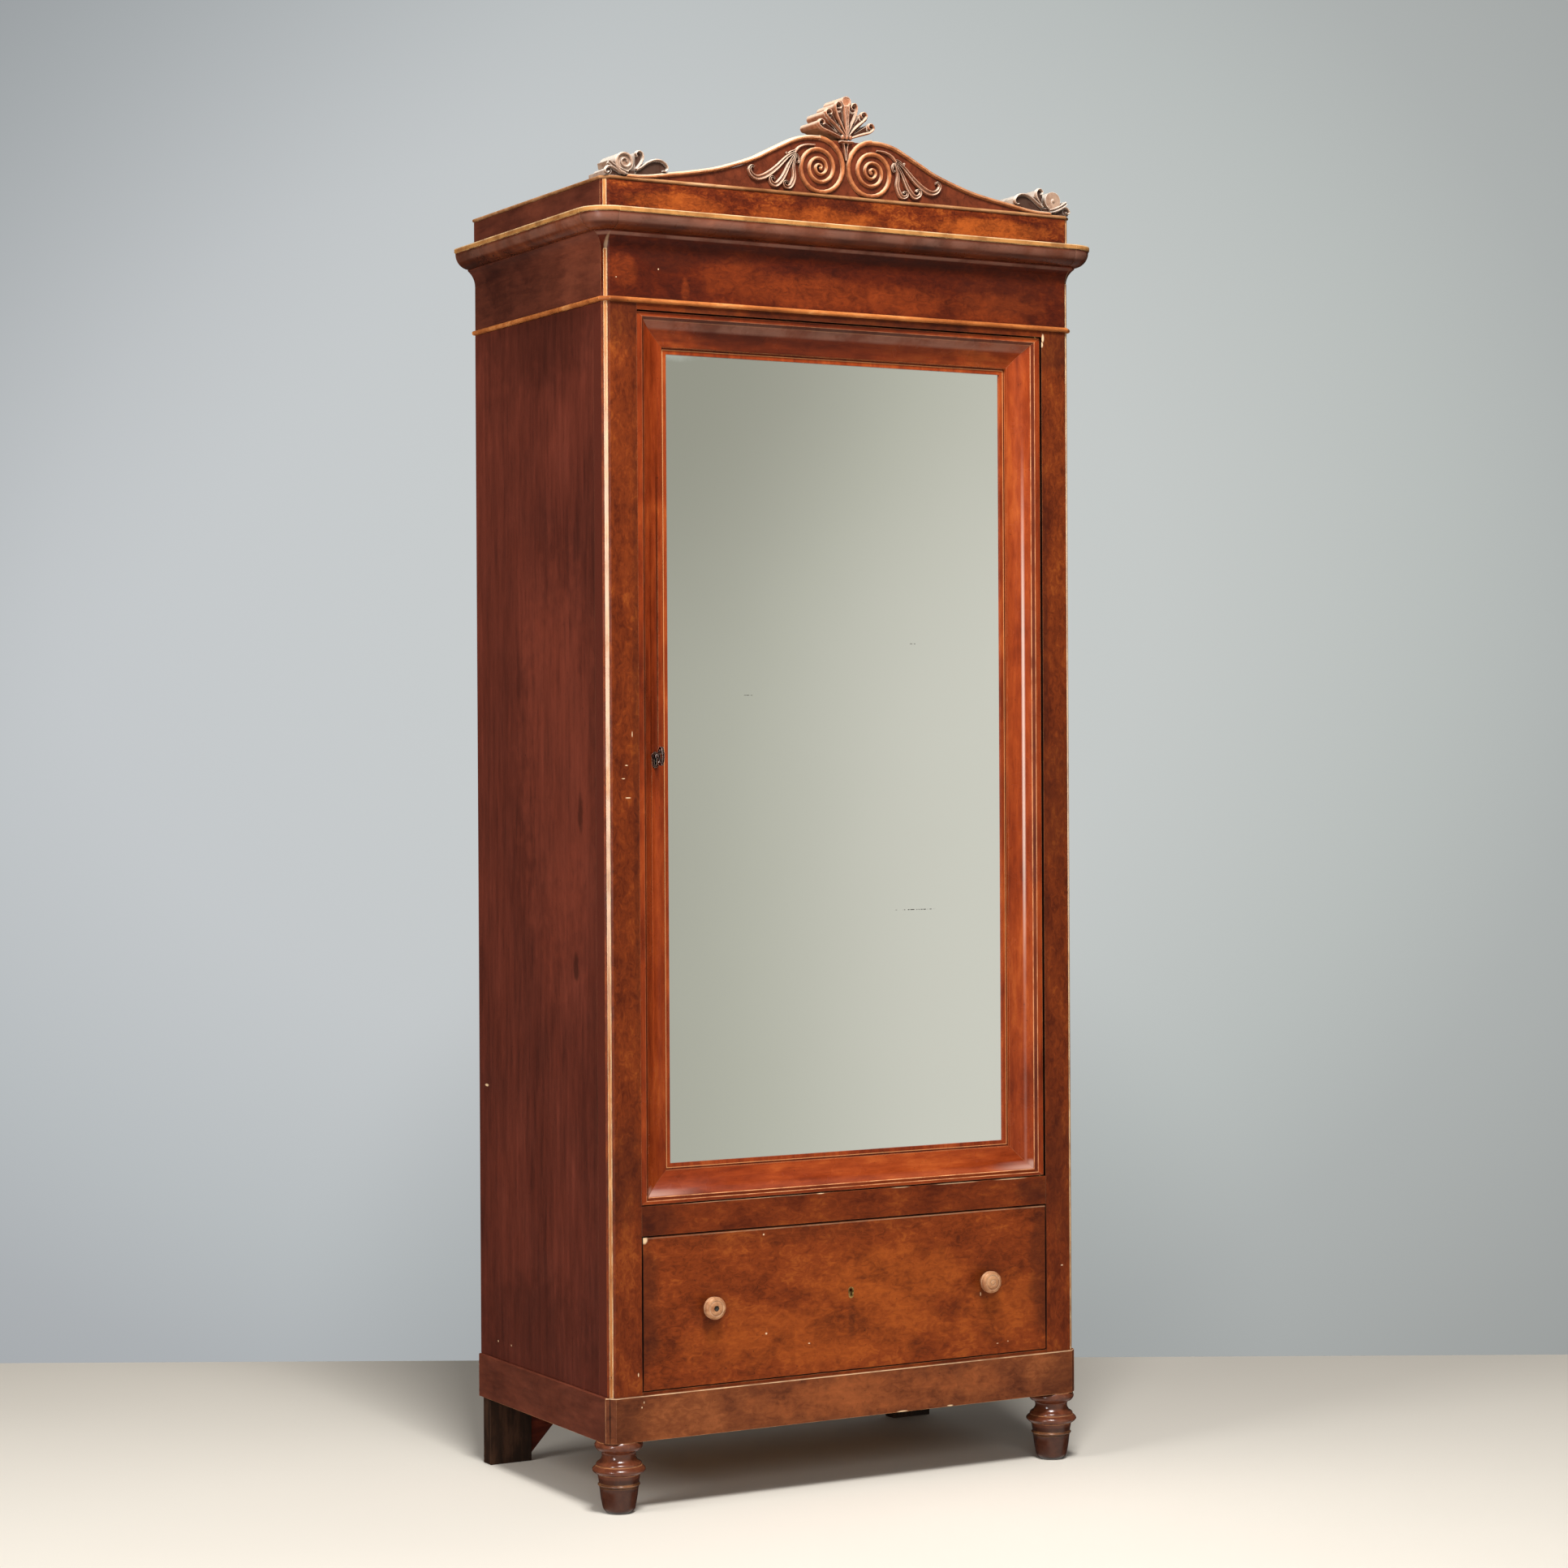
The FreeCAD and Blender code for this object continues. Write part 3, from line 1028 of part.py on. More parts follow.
def make_drawer_box():
    z0 = Z_DRAWER_SIDE
    z1 = z0 + DRAWER_SIDE_HEIGHT
    bottom_z0 = z0 + DRAWER_BOTTOM_RISE
    bottom_z1 = bottom_z0 + DRAWER_BOTTOM_THICKNESS
    front_back = DRAWER_FRONT_THICKNESS
    groove = DRAWER_GROOVE
    bottom = block(-DRAWER_SIDE_IN - groove, DRAWER_SIDE_IN + groove, front_back - groove, DRAWER_END,
                   bottom_z0, bottom_z1)
    save("drawer_bottom", bottom)
    side = block(DRAWER_SIDE_IN, DRAWER_SIDE_OUT, front_back, DRAWER_END, z0, z1).cut(bottom)
    save("drawer_sides", Part.makeCompound([other_side(side), side]))
    back = block(-DRAWER_SIDE_IN, DRAWER_SIDE_IN, DRAWER_END - DRAWER_SIDE_THICKNESS, DRAWER_END,
                 bottom_z1, z1)
    save("drawer_back", back)
    front = block(-DRAWER_HALF, DRAWER_HALF, 0, front_back, Z_DRAWER, Z_DRAWER_TOP).cut(bottom)
    front = front.cut(drawer_escutcheon_blank())
    front = front.cut(keyhole(0, DRAWER_KEY_Z, 0, front_back, DRAWER_SLOT_LENGTH))
    for x in (-KNOB_SPREAD / 2, KNOB_SPREAD / 2):
        front = front.cut(disc(x, Z_DRAWER + KNOB_RISE, SCREW_RADIUS + SCREW_FIT, 0, front_back))
    save("drawer_front", front)


def drawer_escutcheon_blank():
    return pear(
        0, DRAWER_KEY_Z, DRAWER_ESCUTCHEON_RADIUS, DRAWER_ESCUTCHEON_FOOT_RADIUS,
        DRAWER_ESCUTCHEON_DROP, 0, DRAWER_ESCUTCHEON_DEPTH)


def knob_profile():
    """Half section of the turned knob as (radius, distance in front of the drawer)."""
    r, end = KNOB_RADIUS, KNOB_LENGTH
    flange, neck = KNOB_FLANGE_RADIUS, KNOB_NECK_RADIUS
    hole = SCREW_RADIUS + SCREW_FIT
    head = SCREW_HEAD_RADIUS + SCREW_FIT
    base = [(flange, 0), ((1.07 * flange, 0.06 * end), (flange, 0.12 * end)), (neck, 0.18 * end)]
    cup = [((1.07 * neck, 0.34 * end), (1.53 * neck, 0.46 * end)), ((0.92 * r, 0.56 * end), (r, 0.72 * end))]
    face = [((0.96 * r, 0.86 * end), (0.8 * r, 0.96 * end)), (head, end)]
    return outline((hole, 0), *base, *cup, *face, (head, end - SCREW_SINK), (hole, end - SCREW_SINK))


def make_knobs():
    half = placed(Part.Face(knob_profile()), V(1, 0, 0), V(0, -1, 0), V(0, 0, 0))
    turned = half.revolve(V(0, 0, 0), V(0, 1, 0), 360)
    face, seat = KNOB_LENGTH - SCREW_FIT, KNOB_LENGTH - SCREW_SINK
    tip = KNOB_LENGTH - SCREW_LENGTH
    screw_half = outline(
        (0, face), (SCREW_HEAD_RADIUS, face), (SCREW_HEAD_RADIUS, seat), (SCREW_RADIUS, seat),
        (SCREW_RADIUS, tip), (0, tip))
    screw = placed(Part.Face(screw_half), V(1, 0, 0), V(0, -1, 0), V(0, 0, 0))
    screw = screw.revolve(V(0, 0, 0), V(0, 1, 0), 360)
    knobs, screws = [], []
    for x in (-KNOB_SPREAD / 2, KNOB_SPREAD / 2):
        place = V(x, FRONT, Z_DRAWER + KNOB_RISE)
        for shape, kept in ((turned, knobs), (screw, screws)):
            copy = shape.copy()
            copy.translate(place)
            kept.append(copy)
    save("drawer_knobs", Part.makeCompound(knobs))
    save("knob_screws", Part.makeCompound(screws))


def make_drawer_lock():
    """A rim lock on the back of the drawer front, whose long bolt runs up through a staple."""
    key_bore = keyhole(0, DRAWER_KEY_Z, 0, DRAWER_ESCUTCHEON_DEPTH, DRAWER_SLOT_LENGTH)
    save("drawer_escutcheon", drawer_escutcheon_blank().cut(key_bore))
    half = DRAWER_LOCK_WIDTH / 2
    y0 = DRAWER_FRONT_THICKNESS
    y1 = y0 + DRAWER_LOCK_DEPTH
    z0 = DRAWER_KEY_Z - DRAWER_LOCK_HEIGHT / 2
    z1 = z0 + DRAWER_LOCK_HEIGHT
    case = block(-half, half, y0, y1, z0, z1)
    hollow_half = half - LOCK_WALL
    case = case.cut(block(
        -hollow_half, hollow_half, y0 + LOCK_WALL, y1 - LOCK_WALL, z0 + LOCK_WALL, z1 - LOCK_WALL))
    bolt_half = DRAWER_BOLT_WIDTH / 2
    bolt_y = drawer_bolt_front()
    channel = block(-bolt_half - RUN_GAP, bolt_half + RUN_GAP, bolt_y - RUN_GAP,
                    bolt_y + DRAWER_BOLT_THICKNESS + RUN_GAP, z1 - LOCK_WALL, Z_DRAWER_TOP)
    case = case.cut(channel).cut(keyhole(0, DRAWER_KEY_Z, y0, y0 + LOCK_WALL, DRAWER_SLOT_LENGTH))
    staple_top = Z_DRAWER_TOP - STAPLE_WALL
    staple_half = bolt_half + RUN_GAP + STAPLE_WALL
    staple = block(-staple_half, staple_half, y0, bolt_y + DRAWER_BOLT_THICKNESS + RUN_GAP + STAPLE_WALL,
                   staple_top - STAPLE_HEIGHT, staple_top).cut(channel)
    save("drawer_lock_case", Part.makeCompound([case, staple]))
    bolt = block(-bolt_half, bolt_half, bolt_y, bolt_y + DRAWER_BOLT_THICKNESS,
                 DRAWER_KEY_Z + KEY_BIT_REACH + KEY_BIT_PLAY, Z_DRAWER_TOP - BOLT_INSET)
    save("drawer_lock_bolt", bolt)


# ---- everything -------------------------------------------------------------------------------------
def main():
    os.makedirs("parts", exist_ok=True)
    make_plinth()
    make_feet()
    make_sides()
    make_back()
    make_stiles()
    make_corner_strips()
    make_rails()
    make_boards()
    make_shelves()
    make_runners()
    make_frieze()
    make_cornice()
    make_attic()
    make_pediment()
    make_carving()
    make_door_frame()
    make_mirror()
    make_hinges()
    make_door_lock()
    make_key()
    make_drawer_box()
    make_knobs()
    make_drawer_lock()


main()
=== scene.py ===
# %% [markdown]
# # A tall linen cupboard with a mirror door
# This lesson dresses a one-door cupboard: veneered boards, turned feet and knobs, an old mirror,
# a lock with its key, and a carved pediment. The joinery comes in ready made, at its real size, and
# stays where it is. What the lesson adds is the carving, the turning and every surface finish.
#
# Blender counts in metres here. X is the cupboard's width, -Y is its front and Z points up.

# %% Load the cupboard's joinery
import math

import bmesh
import bpy
from mathutils import Matrix, Vector


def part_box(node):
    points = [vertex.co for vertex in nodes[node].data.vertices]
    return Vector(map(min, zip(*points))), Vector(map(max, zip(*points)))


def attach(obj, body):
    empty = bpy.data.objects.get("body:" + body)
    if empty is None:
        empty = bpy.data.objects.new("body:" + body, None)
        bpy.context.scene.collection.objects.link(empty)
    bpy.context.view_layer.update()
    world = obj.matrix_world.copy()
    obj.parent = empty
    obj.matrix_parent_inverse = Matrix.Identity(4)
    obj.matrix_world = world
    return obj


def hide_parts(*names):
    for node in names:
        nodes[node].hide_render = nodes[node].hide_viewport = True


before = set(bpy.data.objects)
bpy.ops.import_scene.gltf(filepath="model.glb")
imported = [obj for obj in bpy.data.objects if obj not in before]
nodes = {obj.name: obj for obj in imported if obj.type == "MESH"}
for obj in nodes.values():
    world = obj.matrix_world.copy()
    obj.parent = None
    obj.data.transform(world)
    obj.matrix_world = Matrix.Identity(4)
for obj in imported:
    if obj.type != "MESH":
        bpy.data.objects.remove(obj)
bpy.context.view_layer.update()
MM = 0.001

# %% [markdown]
# ## The view
# A cupboard is best seen from a little to one side and from about chest height, with a long lens, so
# that its upright lines stay upright. A camera can be aimed with rotation angles, but a picture that
# has to repeat an exact view is easier to place by three directions: where the camera looks, what is
# right of it and what is above it. Those three directions are the columns of its matrix.

# %% Place the camera
CAMERA_PLACE = Vector((-2.9619, -5.2691, 1.2430))
CAMERA_YAW = math.radians(29.401)
CAMERA_PITCH = math.radians(-0.278)
CAMERA_ROLL = math.radians(-0.316)
CAMERA_LENS = 77.68


def camera_directions():
    """Right, up and forward of the camera, from its yaw, pitch and roll."""
    forward = Vector((
        math.sin(CAMERA_YAW) * math.cos(CAMERA_PITCH),
        math.cos(CAMERA_YAW) * math.cos(CAMERA_PITCH),
        math.sin(CAMERA_PITCH)))
    level = Vector((math.cos(CAMERA_YAW), -math.sin(CAMERA_YAW), 0))
    above = level.cross(forward)
    right = level * math.cos(CAMERA_ROLL) + above * math.sin(CAMERA_ROLL)
    up = above * math.cos(CAMERA_ROLL) - level * math.sin(CAMERA_ROLL)
    return right, up, forward


right, up, forward = camera_directions()
bpy.ops.object.camera_add(location=CAMERA_PLACE)
camera = bpy.context.object
camera.name = "camera"
turned_frame = Matrix((right, up, -forward)).transposed()
camera.matrix_world = Matrix.Translation(CAMERA_PLACE) @ turned_frame.to_4x4()
camera.data.lens = CAMERA_LENS
camera.data.sensor_width = 36
bpy.context.scene.camera = camera
print("camera looks along", [round(c, 3) for c in forward])

# %% [markdown]
# ## Wires between nodes
# Every finish below is a small network of nodes. Placing nodes by hand in the shader editor is easy
# to follow on screen and hard to repeat. Here a node's output is a wire, and wires are reckoned with
# like numbers: a sum or product of wires adds the Math node that works it out.

# %% Wires and nodes
class Wire:
    """The output of a node."""

    def __init__(self, socket):
        self.socket = socket
        self.tree = socket.id_data

    def __add__(self, other):
        return maths("ADD", self, other)

    def __sub__(self, other):
        return maths("SUBTRACT", self, other)

    def __rsub__(self, other):
        return maths("SUBTRACT", other, self)

    def __mul__(self, other):
        return maths("MULTIPLY", self, other)

    def __truediv__(self, other):
        return maths("DIVIDE", self, other)

    def __abs__(self):
        return maths("ABSOLUTE", self)


def tree_of(values):
    """The node tree that the wires among the values belong to."""
    return next(value.tree for value in values if isinstance(value, Wire))


def fill(target, inputs):
    """Links every input that is given a wire and sets the others."""
    for key, value in inputs.items():
        if isinstance(value, Wire):
            value.tree.links.new(value.socket, target.inputs[key])
        else:
            target.inputs[key].default_value = value


def node(tree, kind, inputs, output=0, **settings):
    """Adds a node and returns one of its outputs, or a list of them where output is a tuple."""
    new = tree.nodes.new(kind)
    for name, value in settings.items():
        setattr(new, name, value)
    fill(new, inputs)
    if isinstance(output, tuple):
        return [Wire(new.outputs[i]) for i in output]
    return Wire(new.outputs[output])


def maths(operation, *values):
    return node(tree_of(values), "ShaderNodeMath", dict(enumerate(values)), operation=operation)


def most(value, *others):
    for other in others:
        value = maths("MAXIMUM", value, other)
    return value


def least(value, *others):
    for other in others:
        value = maths("MINIMUM", value, other)
    return value


# %% [markdown]
# ## Node helpers
# Each of these helpers adds one node, or two that always go together. With them a finish reads like
# a recipe. Places and directions are the piece's own, so no finish shifts when a door turns.

# %% Helpers for shader nodes
def tone(red, green, blue):
    """A colour given as it looks on screen, from 0 to 255, made linear for the shader."""
    def linear(value):
        share = value / 255
        return share / 12.92 if share <= 0.04045 else ((share + 0.055) / 1.055) ** 2.4
    return (linear(red), linear(green), linear(blue), 1)


def shades(*colours):
    return [tone(*colour) for colour in colours]


def place(tree, stretch=(1, 1, 1), shift=(0, 0, 0)):
    """The piece's own coordinates in metres, stretched and shifted."""
    own = node(tree, "ShaderNodeTexCoord", {}, "Object")
    return node(tree, "ShaderNodeMapping", {"Vector": own, "Scale": stretch, "Location": shift})


def own_normal(tree):
    return node(tree, "ShaderNodeTexCoord", {}, "Normal")


def axes(vector):
    return node(vector.tree, "ShaderNodeSeparateXYZ", {0: vector}, (0, 1, 2))


def dot(vector, direction):
    """How far a place or an arrow reaches along a direction."""
    return node(vector.tree, "ShaderNodeVectorMath", {0: vector, 1: direction}, "Value",
                operation="DOT_PRODUCT")


def noise(vector, scale, detail=4.0, roughness=0.55, distortion=0.0):
    return node(vector.tree, "ShaderNodeTexNoise", {
        "Vector": vector, "Scale": scale, "Detail": detail, "Roughness": roughness,
        "Distortion": distortion}, "Fac")


def spread(value, low, high, new_low=0.0, new_high=1.0):
    """Maps low..high to new_low..new_high with soft ends, and holds the ends."""
    return node(value.tree, "ShaderNodeMapRange", {
        0: value, 1: low, 2: high, 3: new_low, 4: new_high}, interpolation_type="SMOOTHSTEP")


def ramp(value, stops):
    made = node(value.tree, "ShaderNodeValToRGB", {"Fac": value}, "Color")
    colours = made.socket.node.color_ramp.elements
    while len(colours) < len(stops):
        colours.new(0.5)
    for stop, (position, colour) in zip(colours, stops):
        stop.position = position
        stop.color = colour
    return made


def blend(share, first, second, how="MIX"):
    """The first colour where share is 0 and the second where it is 1."""
    return node(tree_of((share, first, second)), "ShaderNodeMix", {0: share, 6: first, 7: second}, 2,
                data_type="RGBA", blend_type=how)


def darken(colour, share):
    grey = node(share.tree, "ShaderNodeCombineColor", {0: share, 1: share, 2: share})
    return blend(1.0, colour, grey, "MULTIPLY")


def start_finish(name):
    """A new material with its node tree and its shader."""
    material = bpy.data.materials.new(name)
    material.use_nodes = True
    return material, material.node_tree, material.node_tree.nodes["Principled BSDF"]


def bump(shader, height, distance, strength):
    normal = node(height.tree, "ShaderNodeBump", {
        "Height": height, "Distance": distance, "Strength": strength})
    fill(shader, {"Normal": normal})


# %% [markdown]
# ## The studio
# Furniture is photographed on a pale sweep. The main light hangs high above the front: it keeps the
# shadow under the cupboard, darkens the tops of the sunk panels and lights their lower edges. A
# softer light on the left opens up the side, and a narrow upright one, seen only in reflections,
# draws a long gleam down every rounded edge. The backdrop is the world itself. The camera sees a
# grey wall, polished surfaces see a pale room in front, a pale floor below and dark sides, and all
# else receives a little plain white light, so the wall can be grey without dimming the wood.

# %% Floor
FLOOR_FAR = 7.107
FLOOR_BRIGHT = 5.5
FLOOR_NEAR = 1.5
FLOOR_WIDTH = 16.0


def make_floor():
    level = Vector((forward.x, forward.y, 0)).normalized()
    middle = CAMERA_PLACE + level * ((FLOOR_FAR + FLOOR_NEAR) / 2)
    middle.z = 0
    bpy.ops.mesh.primitive_plane_add(size=1, location=middle, rotation=(0, 0, -CAMERA_YAW))
    floor = bpy.context.object
    floor.name = "studio_floor"
    floor.dimensions = (FLOOR_WIDTH, FLOOR_FAR - FLOOR_NEAR, 0)
    bpy.ops.object.transform_apply(location=True, rotation=True, scale=True)
    floor.visible_glossy = False
    material, tree, shader = start_finish("pale_floor")
    cloud = noise(place(tree), 0.9, 3.0)
    start = level.dot(CAMERA_PLACE)
    nearness = spread(dot(place(tree), tuple(level)), start + FLOOR_FAR, start + FLOOR_BRIGHT)
    fill(shader, {
        "Base Color": ramp(cloud * 0.2 + nearness, [
            (0.05, tone(214, 207, 195)), (1.0, tone(224, 217, 205))]),
        "Roughness": spread(cloud, 0.3, 0.7, 0.6, 0.75),
        "Specular IOR Level": 0.1})
    floor.data.materials.append(material)


make_floor()

# %% Backdrop
WALL_TONES = shades((201, 206, 206), (197, 202, 203), (184, 190, 191), (173, 178, 180),
                    (161, 165, 167), (150, 154, 156))
WALL_STOPS = (0.0, 0.15, 0.35, 0.5, 0.75, 1.0)
DARK_ROOM = (0.035, 0.032, 0.03, 1)
PALE_ROOM = (0.60, 0.61, 0.54, 1)
PALE_FLOOR = (0.62, 0.58, 0.52, 1)
FILL_LIGHT = (1.0, 0.98, 0.96, 1)


def oval(across, height, centre, reach):
    """The squared distance from a soft oval's centre: 0 in the middle, 1 at its rim."""
    x = (across - centre[0]) / reach[0]
    z = (height - centre[1]) / reach[1]
    return x * x + z * z


def wall_colour(direction):
    """A grey wall: bright behind the upper half, shaded behind the feet, darker in one corner."""
    across = dot(direction, tuple(right))
    height = axes(direction)[2]
    bright = oval(across, height, (-0.05, 0.05), (0.29, 0.24))
    wall = ramp(bright * 0.5, list(zip(WALL_STOPS, WALL_TONES)))
    wall = darken(wall, spread(height - across * 1.2, 0.26, 0.52, 1.0, 0.74))
    shaded = oval(across, height, (0.0, -0.17), (0.15, 0.15))
    wall = darken(wall, spread(shaded, 1.0, 0.0, 1.0, 0.8))
    cast = ramp(spread(across, -0.22, 0.22), [(0.0, (0.99, 0.98, 1.0, 1)), (1.0, (1.0, 0.99, 0.95, 1))])
    return blend(1.0, wall, cast, "MULTIPLY")


def glow(tree, colour, strength=1.0):
    return node(tree, "ShaderNodeBackground", {"Color": colour, "Strength": strength})


def make_backdrop():
    world = bpy.data.worlds.new("studio")
    bpy.context.scene.world = world
    world.use_nodes = True
    tree = world.node_tree
    tree.nodes.clear()
    direction = node(tree, "ShaderNodeTexCoord", {}, "Generated")
    _, depth, height = axes(direction)
    room = blend(spread(depth, -0.35, -0.75), DARK_ROOM, PALE_ROOM)
    room = blend(spread(height, -0.4, -0.7), room, PALE_FLOOR)
    camera_ray, glossy_ray, clear_ray = node(tree, "ShaderNodeLightPath", {}, (
        "Is Camera Ray", "Is Glossy Ray", "Is Transmission Ray"))
    unseen = node(tree, "ShaderNodeMixShader", {
        0: glossy_ray, 1: glow(tree, FILL_LIGHT, 0.14), 2: glow(tree, room)})
    both = node(tree, "ShaderNodeMixShader", {
        0: most(camera_ray, clear_ray), 1: unseen, 2: glow(tree, wall_colour(direction))})
    fill(tree.nodes.new("ShaderNodeOutputWorld"), {"Surface": both})
    print("backdrop ready")


make_backdrop()

# %% Lights
def softbox(name, location, target, width, height, power, diffuse=True, glossy=True):
    bpy.ops.object.light_add(type="AREA", location=location)
    lamp = bpy.context.object
    lamp.name = name
    lamp.data.shape = "RECTANGLE"
    lamp.data.size = width
    lamp.data.size_y = height
    lamp.data.energy = power
    lamp.rotation_euler = (Vector(target) - Vector(location)).to_track_quat("-Z", "Y").to_euler()
    lamp.visible_camera = False
    lamp.visible_diffuse = diffuse
    lamp.visible_glossy = glossy
    print(name, power, "W")


softbox("high_softbox", (-0.9, -2.5, 4.9), (0, -0.6, 0.6), 1.3, 0.9, 270)
softbox("front_softbox", (-1.6, -4.6, 2.6), (0, -0.2, 1.1), 2.2, 1.6, 50, glossy=False)
softbox("side_softbox", (-4.2, -0.9, 2.9), (-0.4, 0.1, 1.0), 1.6, 2.4, 95, glossy=False)
softbox("strip_softbox", (-3.4, -2.05, 1.25), (0, -0.2, 1.25), 0.35, 2.2, 60, diffuse=False)

bpy.context.scene.view_settings.view_transform = "Standard"

# %% [markdown]
# ## Marks of age, with painted light and shade
# Two centuries leave marks in known places, so they are placed one by one rather than scattered; painted
# shade and highlights are placed the same way.
# Smoke stains and painted shade, golden flares, nicks and the black seams beside a drawer are soft ovals
# with ragged rims. Level bands stand for rubbed lines and for painted highlights along a moulding. The
# Bevel node finds the sharp edges, where the polish is worn through to pale wood. Bands leave out the
# faces that look backwards or straight up, and nicks and seams stay off the boards' thin edges.

# %% Patches, bands and worn edges
# Dark joints, and dirt with painted shade on board ends inside gaps.
GAP_DIRT_AND_SHADE = tone(17, 8, 5)
# Smoke stains, and painted shade in grooves, quirks and under overhangs.
SMOKE_AND_SHADE = tone(44, 20, 14)
WORN = tone(220, 162, 112)
BARE = tone(226, 192, 152)
# A painted highlight: the soft sheen of light along a moulding.
PAINTED_SHEEN = tone(168, 122, 104)
RUBBED = tone(232, 202, 160)
GILT = tone(188, 132, 74)


def facing(tree, axis):
    """1 on surfaces that lie square to an axis, 0 on those that run along it."""
    return spread(abs(axes(own_normal(tree))[axis]), 0.3, 0.7)


def not_back_or_top(tree):
    """0 on surfaces that look backwards or straight up, 1 elsewhere."""
    _, backwards, upwards = axes(own_normal(tree))
    return spread(backwards, 0.5, 0.2) * spread(upwards, 0.95, 0.75)


def patch(tree, spot, ragged, side):
    """1 in the middle of an oval on the front, 0 outside. spot is x, z, half width, half height.
    On the cupboard's side the first value counts from front to back instead."""
    front_x, side_y, height = axes(place(tree))
    x, z, half_width, half_height = (value * MM for value in spot)
    distance = oval(side_y if side else front_x, height, (x, z), (half_width, half_height))
    rag = noise(place(tree), 30.0, 5.0, 0.6) - 0.5
    return spread(rag * (ragged * 4) + distance, 1.0, 0.1)


def patches(tree, spots, ragged=0.5, side=False):
    """The strongest of several patches at each place; a spot may end in its own strength."""
    strongest = 0.0
    for spot in spots:
        strength = spot[4] if len(spot) > 4 else 1.0
        strongest = most(strongest, patch(tree, spot[:4], ragged, side) * strength)
    return strongest


def worn_and_gleaming_edges(tree, radius, soft=0.22):
    """1 on sharp edges and 0 on flat faces, broken up so that the wear is uneven. On carvings and metals
    it also places painted highlights.
    """
    rounded = node(tree, "ShaderNodeBevel", {"Radius": radius}, samples=6)
    flat = node(tree, "ShaderNodeNewGeometry", {}, "Normal")
    edge = spread(1.0 - dot(rounded, flat), 0.01, soft)
    return edge * spread(noise(place(tree), 38.0, 4.0), 0.36, 0.6, 0.35, 1.0)


def level_band(tree, colour, low, high, soft, paint, share):
    """A level band of another colour between two heights in millimetres, a little uneven."""
    height = axes(place(tree))[2]
    inside = (spread(height, (low - soft) * MM, low * MM)
              * spread(height, (high + soft) * MM, high * MM) * not_back_or_top(tree))
    uneven = spread(noise(place(tree), 18.0, 4.0), 0.36, 0.58, 0.45 * share, share)
    return blend(inside * uneven, colour, paint)


# %% [markdown]
# ## Lines of the door frame
# The door's frame has a fine groove near its outer arris, and the slip round the mirror has a quirk.
# Both could be cut as geometry. They are shallow enough to be painted as lines: painted shade in the
# groove and quirk, worn pale on the arrises. The lines follow the
# whole frame by asking one question: how far in from the edge is this place? The same distance
# places the painted gleam on the cove and a painted sheen low on the bottom cove.

# %% Door frame and slip
door_low, door_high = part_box("door_bottom_rail")[0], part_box("door_top_rail")[1]
DOOR_ARRIS_X = door_high.x - 10.5 * MM
DOOR_ARRIS_LOW = door_low.z + 5.5 * MM
DOOR_ARRIS_HIGH = door_high.z - 7.5 * MM
GROOVE = 5.5 * MM
WORN_LINE = 0.8 * MM
SLIP_WIDTH = 11 * MM
SIGHT_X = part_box("mirror_slips")[1].x - SLIP_WIDTH
SIGHT_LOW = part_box("mirror_slips")[0].z + SLIP_WIDTH
SIGHT_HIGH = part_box("mirror_slips")[1].z - SLIP_WIDTH
# Painted highlights on the door's coves: a pale sheen low on the bottom rail and a gleam down the right
# stile.
LOWER_COVE_SHEEN = tone(206, 172, 156)
GLEAM = tone(250, 222, 206)


def frame_finish(tree, colour, wear):
    """Painted shade in the groove, worn arrises painted brighter where they catch the light, and a
    painted sheen and gleam on the cove.
    """
    across, _, height = axes(place(tree))
    inwards = least(DOOR_ARRIS_X - abs(across), height - DOOR_ARRIS_LOW, DOOR_ARRIS_HIGH - height)
    facing_out = not_back_or_top(tree)
    # A painted sheen where the bottom cove faces the high light.
    cove_sheen = (spread(height, DOOR_ARRIS_LOW + 26 * MM, DOOR_ARRIS_LOW + 16 * MM)
              * spread(abs(across), 0.28, 0.39, 0.03, 0.55)
              * spread(inwards, 20 * MM, 9 * MM) * spread(inwards, GROOVE, GROOVE + 2 * MM))
    colour = blend(cove_sheen * facing_out, colour, LOWER_COVE_SHEEN)
    # A painted highlight down the right stile's cove.
    gleam = (spread(abs(inwards - 18 * MM), 3.6 * MM, 0.4 * MM) * spread(across, 0.30, 0.36)
             * spread(height, 1.85, 1.45) * spread(height, 0.80, 1.15, 0.06, 0.52))
    colour = blend(gleam * facing_out, colour, GLEAM)
    # Painted shade in the groove, which is not modelled.
    groove_shade = spread(abs(inwards - GROOVE / 2), GROOVE * 0.5, GROOVE * 0.25)
    colour = blend(groove_shade * facing_out * 0.6, colour, SMOKE_AND_SHADE)
    lines = most(*(spread(abs(inwards - arris), WORN_LINE, WORN_LINE * 0.4) for arris in (0.0, GROOVE)))
    patchy = spread(noise(place(tree), 30.0, 4.0), 0.36, 0.6, 0.35, 1.0)
    # The arris lines are worn, and painted brighter on the right stile and bottom rail where they catch
    # the light.
    rubbed_and_lit = most(spread(across, 0.37, 0.385, 0.2, 0.7),
                  spread(height, DOOR_ARRIS_LOW + 12 * MM, DOOR_ARRIS_LOW + 8 * MM, 0.0, 0.9))
    return blend(lines * patchy * rubbed_and_lit * facing_out, colour, wear)


